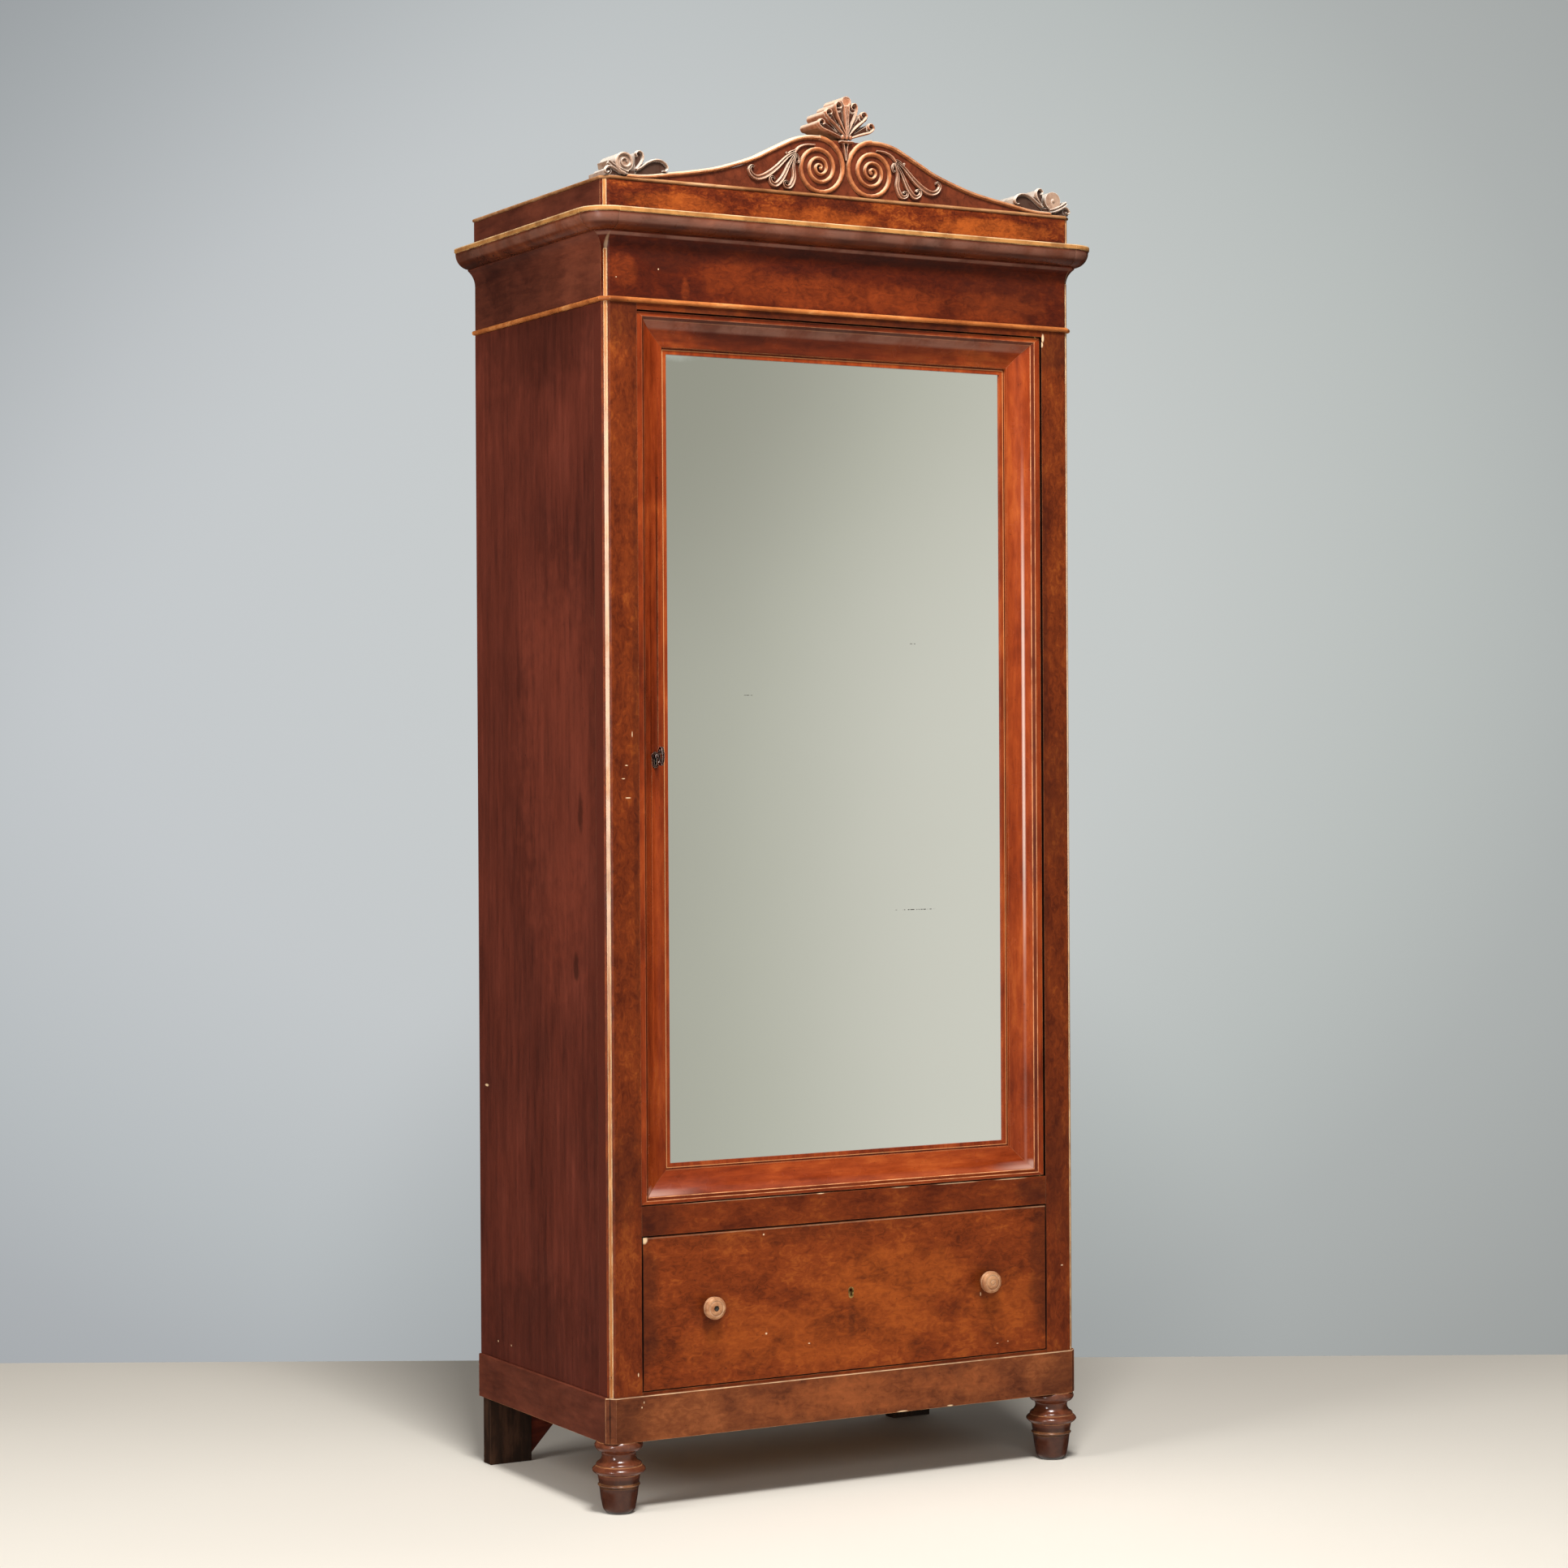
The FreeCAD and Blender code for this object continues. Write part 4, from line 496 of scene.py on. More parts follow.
def slip_finish(tree, colour, wear):
    """Fine lines round the mirror: a worn inner lip, a quirk dark with painted shade and a second,
    fainter arris.
    """
    across, _, height = axes(place(tree))
    outwards = most(abs(across) - SIGHT_X, SIGHT_LOW - height, height - SIGHT_HIGH)
    fine_lines = ((3.0, 1.3, 0.8, SMOKE_AND_SHADE), (1.0, 0.8, 0.7, wear), (5.2, 0.8, 0.6, wear))
    for middle, half, share, paint in fine_lines:
        line = spread(abs(outwards - middle * MM), half * MM, half * 0.3 * MM)
        colour = blend(line * share, colour, paint)
    return colour


# %% [markdown]
# ## Walnut veneer
# The front is veneered in walnut burr under old shellac polish: red-brown clouds with lighter eyes,
# smoky towards the edges of each board, and rubbed pale along every arris. Painting that on an image
# would look the same on every board. Instead three noises are laid over each other: wide clouds, the
# burr's small eyes, and thin streaks along the grain. Their sum runs through a colour ramp, and the
# marks of age lie on top, with some painted shade and highlights. Where two boards meet with a gap, the
# first few millimetres are darkened with dirt and painted shade.

# %% The wood recipe
GRAIN = {"X": (0.16, 1, 1), "Y": (1, 0.16, 1), "Z": (1, 1, 0.16)}
SIDE_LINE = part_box("front_stiles")[1].x
STILE_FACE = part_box("front_stiles")[0].y
DIRT_AND_SHADE_DEPTH = 8 * MM
PORE_DEPTH = 0.12 * MM


def figure(tree, grain, clouds, burr, streaks, shift, straight):
    """The three noises of the wood's figure, added up, and the wide one alone."""
    along = tuple(s ** straight for s in GRAIN[grain])
    half = tuple(0.5 + 0.5 * s for s in along)
    wide = noise(place(tree, half, shift), clouds, 3.0, 0.55, 0.6)
    eyes = noise(place(tree, half, shift), clouds * 6, 6.0, 0.68, 1.2)
    lines = noise(place(tree, along, shift), 85.0, 4.0, 0.6, 0.25)
    return (eyes * burr + wide + lines * streaks) / (1.0 + burr + streaks), wide


def end_finish(tree, colour, outer_sides):
    """Dirt and painted shade on a board's ends and edges where a gap begins, and the colour of its outer
    side.
    """
    across, depth, _ = axes(place(tree))
    ends = spread(abs(axes(own_normal(tree))[1]), 0.3, 0.05)
    near = spread(depth, STILE_FACE + DIRT_AND_SHADE_DEPTH + 3 * MM, STILE_FACE + DIRT_AND_SHADE_DEPTH)
    colour = blend(ends * near, colour, GAP_DIRT_AND_SHADE)
    if outer_sides:
        outside = spread(abs(across), SIDE_LINE - 8 * MM, SIDE_LINE - 2 * MM)
        colour = blend(ends * outside, colour, outer_sides)
    return colour


def wood(name, grain, tones, clouds=12.0, burr=0.8, streaks=0.3, contrast=1.0, wear=WORN,
         wear_share=0.85, wear_radius=1.4, wear_soft=0.22, gloss=(0.3, 0.45), shine=0.1,
         shift=(0, 0, 0), smoke_and_shade=(), flares=(), flare=None, bands=(), nicks=(), seams=(),
         on_side=False, dirty_and_shaded_ends=False, outer_sides=None, lines=None, straight=1.0):
    """Polished wood. tones run from dark to light; smoke stains and painted shade, flares, nicks and
    seams are patches.
    """
    material, tree, shader = start_finish(name)
    value, wide = figure(tree, grain, clouds, burr, streaks, shift, straight)
    value = spread(value, 0.5 - 0.2 / contrast, 0.5 + 0.2 / contrast)
    colour = ramp(value, [(i / (len(tones) - 1), c) for i, c in enumerate(tones)])
    if flares:
        colour = blend(patches(tree, flares, side=on_side) * (value + 0.2), colour, flare)
    if smoke_and_shade:
        # Smoke stains and painted shade, such as under the cornice and along the door's top rail.
        colour = blend(patches(tree, smoke_and_shade, side=on_side) * 0.75, colour, SMOKE_AND_SHADE)
    specks = spread(noise(place(tree), 240.0, 2.0), 0.70, 0.76, 0.0, 0.6)
    colour = blend(specks, colour, SMOKE_AND_SHADE)
    for band in bands:
        colour = level_band(tree, colour, *band)
    pores = noise(place(tree, tuple(s ** 1.6 for s in GRAIN[grain]), shift), 900.0, 3.0, 0.6)
    colour = darken(colour, spread(pores, 0.28, 0.44, 0.78, 1.0))
    if lines:
        colour = lines(tree, colour, wear)
    if wear:
        colour = blend(worn_and_gleaming_edges(tree, wear_radius * MM, wear_soft) * wear_share, colour, wear)
    # Board ends inside gaps: dirt and painted shade.
    if dirty_and_shaded_ends:
        colour = end_finish(tree, colour, outer_sides)
    for spots, ragged, paint in ((nicks, 0.25, BARE), (seams, 0.08, GAP_DIRT_AND_SHADE)):
        if spots:
            square = facing(tree, 0 if on_side else 1)
            colour = blend(patches(tree, spots, ragged, on_side) * square, colour, paint)
    bump(shader, wide * 0.6 + pores * 0.4, PORE_DEPTH, 0.6)
    fill(shader, {
        "Base Color": colour,
        "Roughness": spread(noise(place(tree), 16.0, 3.0), 0.3, 0.7, *gloss),
        "Specular IOR Level": shine})
    return material


# %% Veneers of stiles, rails and drawer
stile_tones = shades((66, 22, 8), (94, 37, 14), (114, 48, 18), (142, 70, 26))
drawer_tones = shades((74, 28, 11), (108, 45, 16), (130, 57, 21), (158, 80, 30))
DRAWER_LOW, DRAWER_MIDDLE, DRAWER_HIGH = 203.4, 332, 460.6

stile_wood = wood(
    "walnut_stiles", "Z", stile_tones, clouds=16, burr=1.1, shift=(0.3, 0, 0.2), wear_share=0.5,
    dirty_and_shaded_ends=True, outer_sides=tone(92, 42, 31),
    smoke_and_shade=[(-430, 1990, 60, 60, 0.6), (430, 1990, 60, 50, 0.6), (430, 1180, 40, 150, 0.4),
           (-430, 560, 45, 120, 0.5), (430, 520, 40, 160, 0.4), (-409, 1300, 8, 700, 0.4),
           (409, 1300, 8, 700, 0.4)],
    seams=[(side * 404.2, DRAWER_MIDDLE, 1.3, 190) for side in (-1, 1)],
    nicks=[(407, 2006, 3, 9), (405, 1994, 3, 6), (-428, 1248, 3, 1.0), (-425, 1194, 6, 1.1),
           (-434, 1226, 4, 0.9), (-417, 1300, 0.9, 6), (438, 350, 3, 1.2), (-412, 232, 1.2, 4)])
rail_wood = wood(
    "walnut_rails", "X", stile_tones, clouds=14, wear_share=0.5, dirty_and_shaded_ends=True,
    smoke_and_shade=[(-380, 490, 60, 40, 0.6), (390, 485, 60, 30, 0.7), (0, 2012, 420, 12, 0.8)],
    nicks=[(100, 511.2, 22, 0.9, 0.6), (215, 511.2, 60, 1.0, 0.55), (330, 511.2, 40, 1.0, 0.7),
           (-60, 511.2, 9, 0.9), (-200, 511.4, 180, 0.5, 0.5)])
drawer_wood = wood(
    "walnut_drawer", "X", drawer_tones, clouds=16, burr=1.1, wear_share=0.3, dirty_and_shaded_ends=True,
    smoke_and_shade=[(-404, 350, 44, 150, 0.65), (400, 350, 40, 150, 0.6), (-276, 334, 44, 46, 0.45),
           (276, 334, 44, 46, 0.4), (-120, 456, 330, 34, 0.3), (0, 296, 9, 44, 0.45)],
    flares=[(80, 350, 190, 80, 0.6), (-60, 270, 330, 70, 0.5), (300, 290, 110, 80, 0.5)],
    flare=tone(166, 82, 29), bands=[(457.2, 458.8, 0.4, BARE, 0.25)],
    seams=[(0, DRAWER_HIGH, 1500, 1.5), (-402.6, DRAWER_MIDDLE, 1.6, 190),
           (402.6, DRAWER_MIDDLE, 1.4, 190), (0, DRAWER_LOW, 1500, 0.9)],
    nicks=[(-400, 456, 7, 8), (-172, 449, 2, 2), (-168, 280, 2.4, 2), (265, 312, 1.2, 4),
           (-84, 256, 2.4, 1.1), (300, 222, 3, 1.0), (322, 224, 1.6, 1.3)])

# %% Veneers of plinth, frieze and attic
frieze_tones = shades((50, 15, 7), (70, 23, 10), (84, 29, 11), (108, 42, 16))
attic_tones = shades((54, 18, 8), (84, 30, 12), (114, 46, 17), (160, 80, 30))
plinth_tones = shades((72, 33, 18), (104, 54, 30), (122, 66, 36), (150, 86, 48))

frieze_wood = wood(
    "walnut_frieze", "X", frieze_tones, clouds=15, burr=1.1, wear_share=0.5,
    # The long thin patch along the top is the cornice's painted shadow; the band just under the cornice
    # is a painted highlight.
    smoke_and_shade=[(-345, 2098, 70, 30, 0.5), (-250, 2110, 110, 22, 0.4), (330, 2080, 150, 46, 0.45),
           (0, 2120, 460, 10, 0.6)],
    bands=[(2129, 2131.5, 2, PAINTED_SHEEN, 0.45)],
    flares=[(-431, 2072, 34, 34, 0.7), (-313, 2044, 10, 24, 0.7), (-199, 2064, 110, 40, 0.5),
            (-60, 2054, 170, 38, 0.7), (120, 2054, 130, 34, 0.7), (300, 2052, 150, 34, 0.7)],
    flare=tone(136, 57, 22),
    nicks=[(-363, 2077, 1.6, 1.6), (-442, 2059, 1.2, 1.2), (-459, 2114, 3, 20, 0.3),
           (459, 2114, 3, 20, 0.3)])
attic_wood = wood(
    "walnut_attic", "X", attic_tones, clouds=24, burr=1.2, contrast=1.1,
    smoke_and_shade=[(-60, 2212, 200, 10, 0.3), (420, 2200, 60, 30, 0.3)],
    flares=[(-330, 2190, 110, 20, 0.55), (-40, 2186, 160, 18, 0.5), (300, 2190, 150, 22, 1.0)],
    flare=tone(168, 82, 30))
plinth_wood = wood(
    "walnut_plinth", "X", plinth_tones, clouds=14, streaks=0.4,
    smoke_and_shade=[(-440, 160, 60, 50, 0.4), (430, 150, 60, 50, 0.3)],
    flares=[(60, 158, 300, 40, 0.6)], flare=tone(160, 86, 44),
    seams=[(-463.5, 159, 0.8, 60)], bands=[(195.4, 197.5, 0.4, BARE, 0.7)],
    nicks=[(100, 122, 14, 1.8), (198, 122.5, 8, 1.6), (-408, 178, 1.4, 2), (-404, 186, 1, 2.4)])
print("front veneers:", [m.name for m in bpy.data.materials if m.name.startswith("walnut")])

# %% Sides and door frame
side_tones = shades((64, 28, 21), (88, 39, 28), (102, 46, 33), (120, 56, 41))
return_tones = shades((62, 28, 20), (88, 43, 30), (104, 52, 36), (124, 64, 44))
door_tones = shades((92, 31, 10), (126, 47, 17), (146, 60, 23), (172, 82, 34))
outside = {"gloss": (0.4, 0.55), "shine": 0.15, "on_side": True}
door_polish = {
    "clouds": 6, "burr": 0.3, "streaks": 0.7, "gloss": (0.2, 0.3), "shine": 0.15,
    "wear": tone(222, 158, 108), "wear_share": 0.5, "lines": frame_finish, "dirty_and_shaded_ends": True}
side_wood = wood(
    "walnut_sides", "Z", side_tones, clouds=5, burr=0.3, streaks=1.0, contrast=0.8, straight=1.3,
    wear_share=0.3, flares=[(-60, 1250, 200, 420, 0.8)], flare=tone(124, 57, 40),
    smoke_and_shade=[(-120, 910, 14, 30, 0.9), (-139, 1171, 12, 40, 0.8), (20, 2000, 320, 130, 0.45),
           (40, 260, 320, 130, 0.4), (-190, 1100, 30, 900, 0.3)],
    nicks=[(247, 680, 9, 3), (205, 229, 2, 2), (150, 229, 2, 2)], **outside)
return_wood = wood("walnut_returns", "Y", return_tones, clouds=6, burr=0.4, streaks=0.5,
                   wear_share=0.7, **outside)
door_stile_wood = wood("walnut_door_stiles", "Z", door_tones, **door_polish)
# The top rail's long patch is painted shade, where the high light misses the downward-facing cove, and
# its band is a painted highlight in that cove.
door_rail_wood = wood("walnut_door_rails", "X", door_tones, smoke_and_shade=[(0, 1975, 460, 50, 0.6)],
                      bands=[(1983, 1994, 6, PAINTED_SHEEN, 0.5)], **door_polish)

# %% [markdown]
# ## Mouldings, corner strips and the plain woods
# The thin mouldings are rubbed almost bare, so they read as golden lines against the boards. The
# strips on the chamfered corners are a lighter wood, browned in the quirks beside them. Inside, the
# carcass is plain oak with a long straight grain, dusty and unpolished.

# %% Lighter woods
gold_tones = shades((124, 64, 30), (160, 90, 44), (186, 112, 58), (216, 150, 92))
crown_tones = shades((112, 68, 38), (146, 98, 60), (170, 122, 82), (200, 158, 118))
cornice_tones = shades((54, 21, 10), (80, 34, 16), (98, 44, 22), (124, 62, 32))
strip_tones = shades((110, 58, 28), (156, 94, 46), (182, 118, 64), (212, 158, 102))
bead_wood = wood("walnut_beads", "X", gold_tones, clouds=14, burr=0.4, streaks=0.6,
                 wear=tone(244, 200, 140))
crown_wood = wood("walnut_crown_edge", "X", crown_tones, clouds=14, burr=0.4, streaks=0.6,
                  wear=tone(228, 200, 162), gloss=(0.4, 0.5))
cornice_wood = wood(
    "walnut_cornice", "X", cornice_tones, burr=0.3, streaks=0.5, wear=tone(240, 190, 124),
    wear_radius=1.6, wear_soft=0.1, gloss=(0.24, 0.36), shine=0.2,
    # The lowest band is a painted highlight on the ovolo; the gilt and rubbed bands are the fascia's own
    # colour and wear.
    bands=[(2149, 2157, 5, PAINTED_SHEEN, 0.3), (2163.5, 2172, 0.6, GILT, 0.9), (2169.4, 2172, 0.4, RUBBED, 0.6)])
strip_wood = wood(
    "fruitwood_strips", "Z", strip_tones, burr=0.3, streaks=1.0, wear=tone(252, 226, 180),
    wear_radius=1.6, wear_soft=0.1, gloss=(0.22, 0.34), shine=0.15,
    # The pale band halfway up is a painted highlight along the chamfer.
    bands=[(1100, 1700, 350, tone(226, 204, 184), 0.5)])
slip_wood = wood("walnut_slips", "Z", door_tones, clouds=10, burr=0.2, lines=slip_finish,
                 streaks=0.8, wear=tone(232, 170, 112), wear_share=0.0, dirty_and_shaded_ends=True,
                 gloss=(0.25, 0.4), shine=0.15)

# %% Plain woods
PLANKS = 5
oak_tones = shades((122, 90, 58), (144, 108, 71), (160, 123, 83), (180, 143, 101))
back_tones = shades((104, 76, 50), (126, 94, 62), (140, 107, 73), (160, 126, 89))
smoked_tones = shades((22, 14, 10), (34, 22, 15), (48, 31, 22), (76, 50, 36))
bracket_tones = shades((54, 18, 11), (84, 30, 18), (108, 44, 26), (134, 62, 40))
dull = {"clouds": 2.5, "burr": 0.15, "streaks": 1.3, "contrast": 0.75, "straight": 2.0,
        "gloss": (0.6, 0.8), "wear": None}
oak_x = wood("oak_along", "X", oak_tones, **dull)
oak_y = wood("oak_deep", "Y", oak_tones, **dull)
oak_z = wood("oak_upright", "Z", oak_tones, **dull)
back_low, back_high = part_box("back_boards")
plank_joints = [(back_low.x + (back_high.x - back_low.x) * i / PLANKS) / MM for i in range(1, PLANKS)]
back_wood = wood("oak_back", "Z", back_tones, seams=[(x, 1108, 1.6, 3000) for x in plank_joints], **dull)
rear_foot_wood = wood("stained_rear_feet", "Z", smoked_tones, clouds=9, burr=0.3, streaks=0.9,
                      wear=tone(120, 82, 58), gloss=(0.5, 0.7))
bracket_wood = wood("stained_brackets", "X", bracket_tones, clouds=9, burr=0.3, streaks=0.9,
                    wear=None, gloss=(0.5, 0.7))
print("woods:", len(bpy.data.materials))

# %% [markdown]
# ## Turned and carved wood
# Carving shows its form through its finish and through painted light: polish, dust and painted shade
# darken every hollow, and hands and cloths have rubbed every ridge pale, which is painted brighter still
# as a highlight. Ambient occlusion measures how closed in each point is, and the
# Bevel node how sharp, so together they paint the shaded hollows and the lit ridges.
# Faces that look up and towards the main light are painted lighter, as highlight with dust, which the
# surface's own normal tells.

# %% Finishes that follow the form
# The direction of the main light; faces turned to it are painted lighter.
MAIN_LIGHT_SIDE = (-0.6, 0, 0.8)


def carved(name, tones, reach=6, gloss=(0.24, 0.4), ridge_radius=1.8, ridge_share=0.95, lit_and_dusty=None,
           shine=0.14, streak=(1, 1, 1), dark_below=None, shaded_depths=None):
    """tones are those of shaded hollows, body, lighter grain and rubbed, highlit ridges. All lengths are
    in millimetres.
    Faces sunk between the two given depths behind the stiles turn dark as painted shade."""
    material, tree, shader = start_finish(name)
    low, middle, high, ridge = tones
    grain = noise(place(tree, streak), 60.0, 5.0, 0.65, 0.5)
    colour = ramp(spread(grain, 0.3, 0.7), [(0.0, middle), (1.0, high)])
    if dark_below:
        height = axes(place(tree))[2]
        share = spread(height, (dark_below + 3) * MM, (dark_below - 1) * MM, 0.0, 0.55)
        colour = blend(share, colour, low)
    if shaded_depths:
        depth = axes(place(tree))[1] - STILE_FACE
        forwards = spread(axes(own_normal(tree))[1], -0.4, -0.85, 0.0, 0.92)
        colour = blend(spread(depth, shaded_depths[0] * MM, shaded_depths[1] * MM) * forwards, colour, low)
    # Faces turned to the main light: a painted highlight, with dust.
    if lit_and_dusty:
        share = spread(dot(own_normal(tree), MAIN_LIGHT_SIDE), 0.45, 0.95, 0.0, 0.85)
        colour = blend(share, colour, tone(*lit_and_dusty))
    # Painted shade: hollows darkened by ambient occlusion. Below, the ridges are rubbed pale and also
    # carry a painted highlight.
    open_air = node(tree, "ShaderNodeAmbientOcclusion", {"Distance": reach * MM}, "AO", samples=8)
    hollow = spread(open_air, 0.2, 0.78)
    colour = blend(hollow, low, colour)
    ridges = worn_and_gleaming_edges(tree, ridge_radius * MM, 0.2) * ridge_share * hollow
    fill(shader, {
        "Base Color": blend(ridges, colour, ridge),
        "Roughness": spread(grain, 0.3, 0.7, *gloss),
        "Specular IOR Level": shine})
    bump(shader, grain, 0.2 * MM, 0.7)
    return material


carved_wood = carved(
    "walnut_carving", shades((46, 20, 12), (134, 80, 54), (180, 122, 90), (248, 216, 190)),
    lit_and_dusty=(224, 198, 172), shaded_depths=(-5, -2.5))
dusty_wood = carved(
    "dusty_carving", shades((50, 27, 20), (136, 102, 82), (176, 146, 124), (246, 230, 214)),
    lit_and_dusty=(220, 210, 196), shaded_depths=(-4, -1.5))
volute_wood = carved(
    "walnut_volutes", shades((50, 20, 10), (142, 78, 46), (184, 114, 70), (252, 218, 174)),
    lit_and_dusty=(232, 190, 150), shaded_depths=(-3.5, -1))
board_wood = carved(
    "walnut_pediment_board", shades((38, 15, 9), (78, 33, 18), (110, 50, 28), (190, 120, 74)),
    reach=20, shine=0.15)
edge_wood = carved(
    "walnut_pediment_edge", shades((70, 32, 18), (150, 86, 50), (190, 122, 76), (246, 214, 172)),
    lit_and_dusty=(240, 222, 194))
foot_wood = carved(
    "walnut_feet", shades((34, 14, 9), (88, 44, 27), (112, 60, 38), (240, 168, 110)),
    reach=9, ridge_radius=4.5, ridge_share=0.9, gloss=(0.16, 0.26), shine=0.6, dark_below=58)
knob_wood = carved(
    "boxwood_knobs", shades((58, 28, 17), (150, 98, 66), (196, 146, 106), (250, 222, 190)),
    reach=11, gloss=(0.2, 0.34), streak=(1, 0.3, 1))

# %% [markdown]
# ## Glass, brass and steel
# The mirror is old plate glass: bright, a little green, duller at the left and the top, where the
# silver has clouded and a painted fall of reflected light darkens it as well, with a few scratches and a
# spot of foxing near its lower edge. Its sight edge is painted dark, as the reflected shade of the slip.
# A mirror is a metal surface with almost no roughness. Each scratch is a thin line in the mirror's own
# coordinates, broken up by noise. The rims of key and keyhole plate are painted bright as glints.

# %% Mirror, brass and steel
mirror_low, mirror_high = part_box("mirror_glass")
MIRROR_TONES = ((0.49, 0.485, 0.445, 1), (0.76, 0.755, 0.72, 1), (1.0, 0.985, 0.975, 1))
SCRATCHES = [(152, 1459, 14, 0.7), (153, 992.6, 88, 0.9), (-143, 549, 20, 3), (-178, 1367, 20, 0.6)]
CLOUDED_CORNER = (-334, 1948, 90, 22, 0.5)


def scratch(tree, x, z, length, width):
    """1 on a short level scratch centred on x and z."""
    across, _, height = axes(place(tree))
    inside = (spread(abs(across - x * MM), length / 2 * MM, length / 3 * MM)
              * spread(abs(height - z * MM), width * MM, width / 2 * MM))
    return inside * spread(noise(place(tree, (1, 1, 0.02)), 260.0, 2.0), 0.42, 0.5)


def old_mirror():
    material, tree, shader = start_finish("old_mirror")
    across, _, height = axes(place(tree))
    # The fall towards the left and the top is clouded silver together with painted reflected light.
    to_right = spread(across, mirror_low.x - 0.1, mirror_high.x + 0.1)
    to_top = spread(height, mirror_high.z - 0.7, mirror_high.z + 0.1)
    shade = to_right * 0.5 - to_top * 0.28 + noise(place(tree), 2.2, 3.0) * 0.06
    colour = ramp(spread(shade, -0.25, 0.56), list(zip((0.0, 0.5, 1.0), MIRROR_TONES)))
    marks = most(*(scratch(tree, *line) for line in SCRATCHES))
    colour = blend(marks, colour, tone(60, 54, 46))
    colour = blend(patches(tree, [CLOUDED_CORNER]), colour, (0.78, 0.8, 0.8, 1))
    # A painted dark line at the sight edge: the reflected shade of the slip's edge.
    rim = least(SIGHT_X - abs(across), SIGHT_HIGH - height)
    dull_spots = spread(noise(place(tree), 5.0, 4.0), 0.3, 0.8, 0.03, 0.1)
    fill(shader, {
        "Base Color": blend(spread(rim, 2.6 * MM, 1.2 * MM), colour, tone(44, 32, 26)),
        "Metallic": 1.0,
        "Roughness": marks * 0.5 + dull_spots})
    bump(shader, noise(place(tree), 3.0, 1.0), 0.2 * MM, 0.2)
    return material


def metal(name, dark, bright, rim, gloss):
    material, tree, shader = start_finish(name)
    tarnish = noise(place(tree), 240.0, 5.0, 0.6)
    colour = ramp(spread(tarnish, 0.35, 0.7), [(0.0, tone(*dark)), (1.0, tone(*bright))])
    # Pale rims: painted glints on the old bronze; on brass and steel the rim keeps the metal's own
    # colour.
    edge = worn_and_gleaming_edges(tree, 1.2 * MM)
    fill(shader, {
        "Base Color": blend(edge, colour, tone(*rim)),
        "Metallic": 1.0 - edge * 0.6,
        "Roughness": spread(tarnish, 0.3, 0.7, *gloss)})
    bump(shader, tarnish, 0.1 * MM, 0.5)
    return material


mirror = old_mirror()
brass = metal("aged_brass", (96, 66, 34), (206, 166, 100), (206, 166, 100), (0.3, 0.5))
# Its near-white rim colour is a painted glint.
old_bronze = metal("old_bronze", (48, 28, 22), (124, 88, 74), (255, 240, 232), (0.2, 0.3))
steel = metal("dark_steel", (34, 30, 28), (120, 112, 106), (120, 112, 106), (0.35, 0.6))

# %% [markdown]
# ## Dress the joinery
# A board's own mesh stays exactly as the joiner cut it. Two live modifiers soften it: Weld closes the
# seams between its triangles, and Bevel takes the knife edge off every arris, because on real wood no
# edge is perfectly sharp and a rounded edge catches the light. Only the bottom board has two
# finishes: it is oak, with a walnut lipping along its front.

# %% Give every board its finish
FINISHES = {
    stile_wood: ["front_stiles"],
    rail_wood: ["middle_rail", "top_rail"],
    drawer_wood: ["drawer_front"],
    frieze_wood: ["frieze_front"],
    attic_wood: ["attic_front"],
    plinth_wood: ["plinth_front"],
    side_wood: ["left_side_board", "right_side_board"],
    return_wood: ["frieze_returns", "attic_returns", "plinth_returns"],
    door_stile_wood: ["door_hinge_stile", "door_lock_stile"],
    door_rail_wood: ["door_top_rail", "door_bottom_rail"],
    bead_wood: ["frieze_bead"],
    crown_wood: ["attic_top_moulding"],
    cornice_wood: ["cornice_front", "cornice_returns", "cornice_corner_blocks"],
    strip_wood: ["corner_strips"],
    slip_wood: ["mirror_slips"],
    oak_x: ["linen_shelves", "compartment_floor", "carcass_bottom_board", "carcass_top_board",
            "crown_top_board", "drawer_bottom", "drawer_back", "frieze_back_rail",
            "plinth_back_rail"],
    oak_y: ["shelf_battens", "drawer_sides", "drawer_runners_and_guides"],
    oak_z: ["mirror_backboard", "plinth_corner_blocks"],
    back_wood: ["back_boards"],
    rear_foot_wood: ["rear_feet"],
    bracket_wood: ["rear_foot_brackets"],
    carved_wood: ["leaf_sprays", "palmette"],
    dusty_wood: ["left_acroterion", "right_acroterion"],
    volute_wood: ["pediment_volutes"],
    edge_wood: ["pediment_edge_moulding"],
    board_wood: ["pediment_board"],
    foot_wood: ["front_feet"],
    knob_wood: ["drawer_knobs"],
    mirror: ["mirror_glass"],
    brass: ["drawer_escutcheon", "carcass_pivot_plates", "door_pivot_plates"],
    old_bronze: ["door_escutcheon", "door_key"],
    steel: ["door_lock_bolt", "door_lock_case", "drawer_lock_bolt", "drawer_lock_case",
            "knob_screws"],
}
LIPPING_DEPTH = 24.9 * MM
for finish, names in FINISHES.items():
    for name in names:
        nodes[name].data.materials.clear()
        nodes[name].data.materials.append(finish)
bottom_board = nodes["carcass_bottom_board"]
bottom_board.data.materials.append(rail_wood)
lipping_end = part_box("carcass_bottom_board")[0].y + LIPPING_DEPTH
for face in bottom_board.data.polygons:
    face.material_index = 1 if face.center.y < lipping_end else 0
undressed = set(nodes) - {n for names in FINISHES.values() for n in names}
print("pieces without a finish:", sorted(undressed))

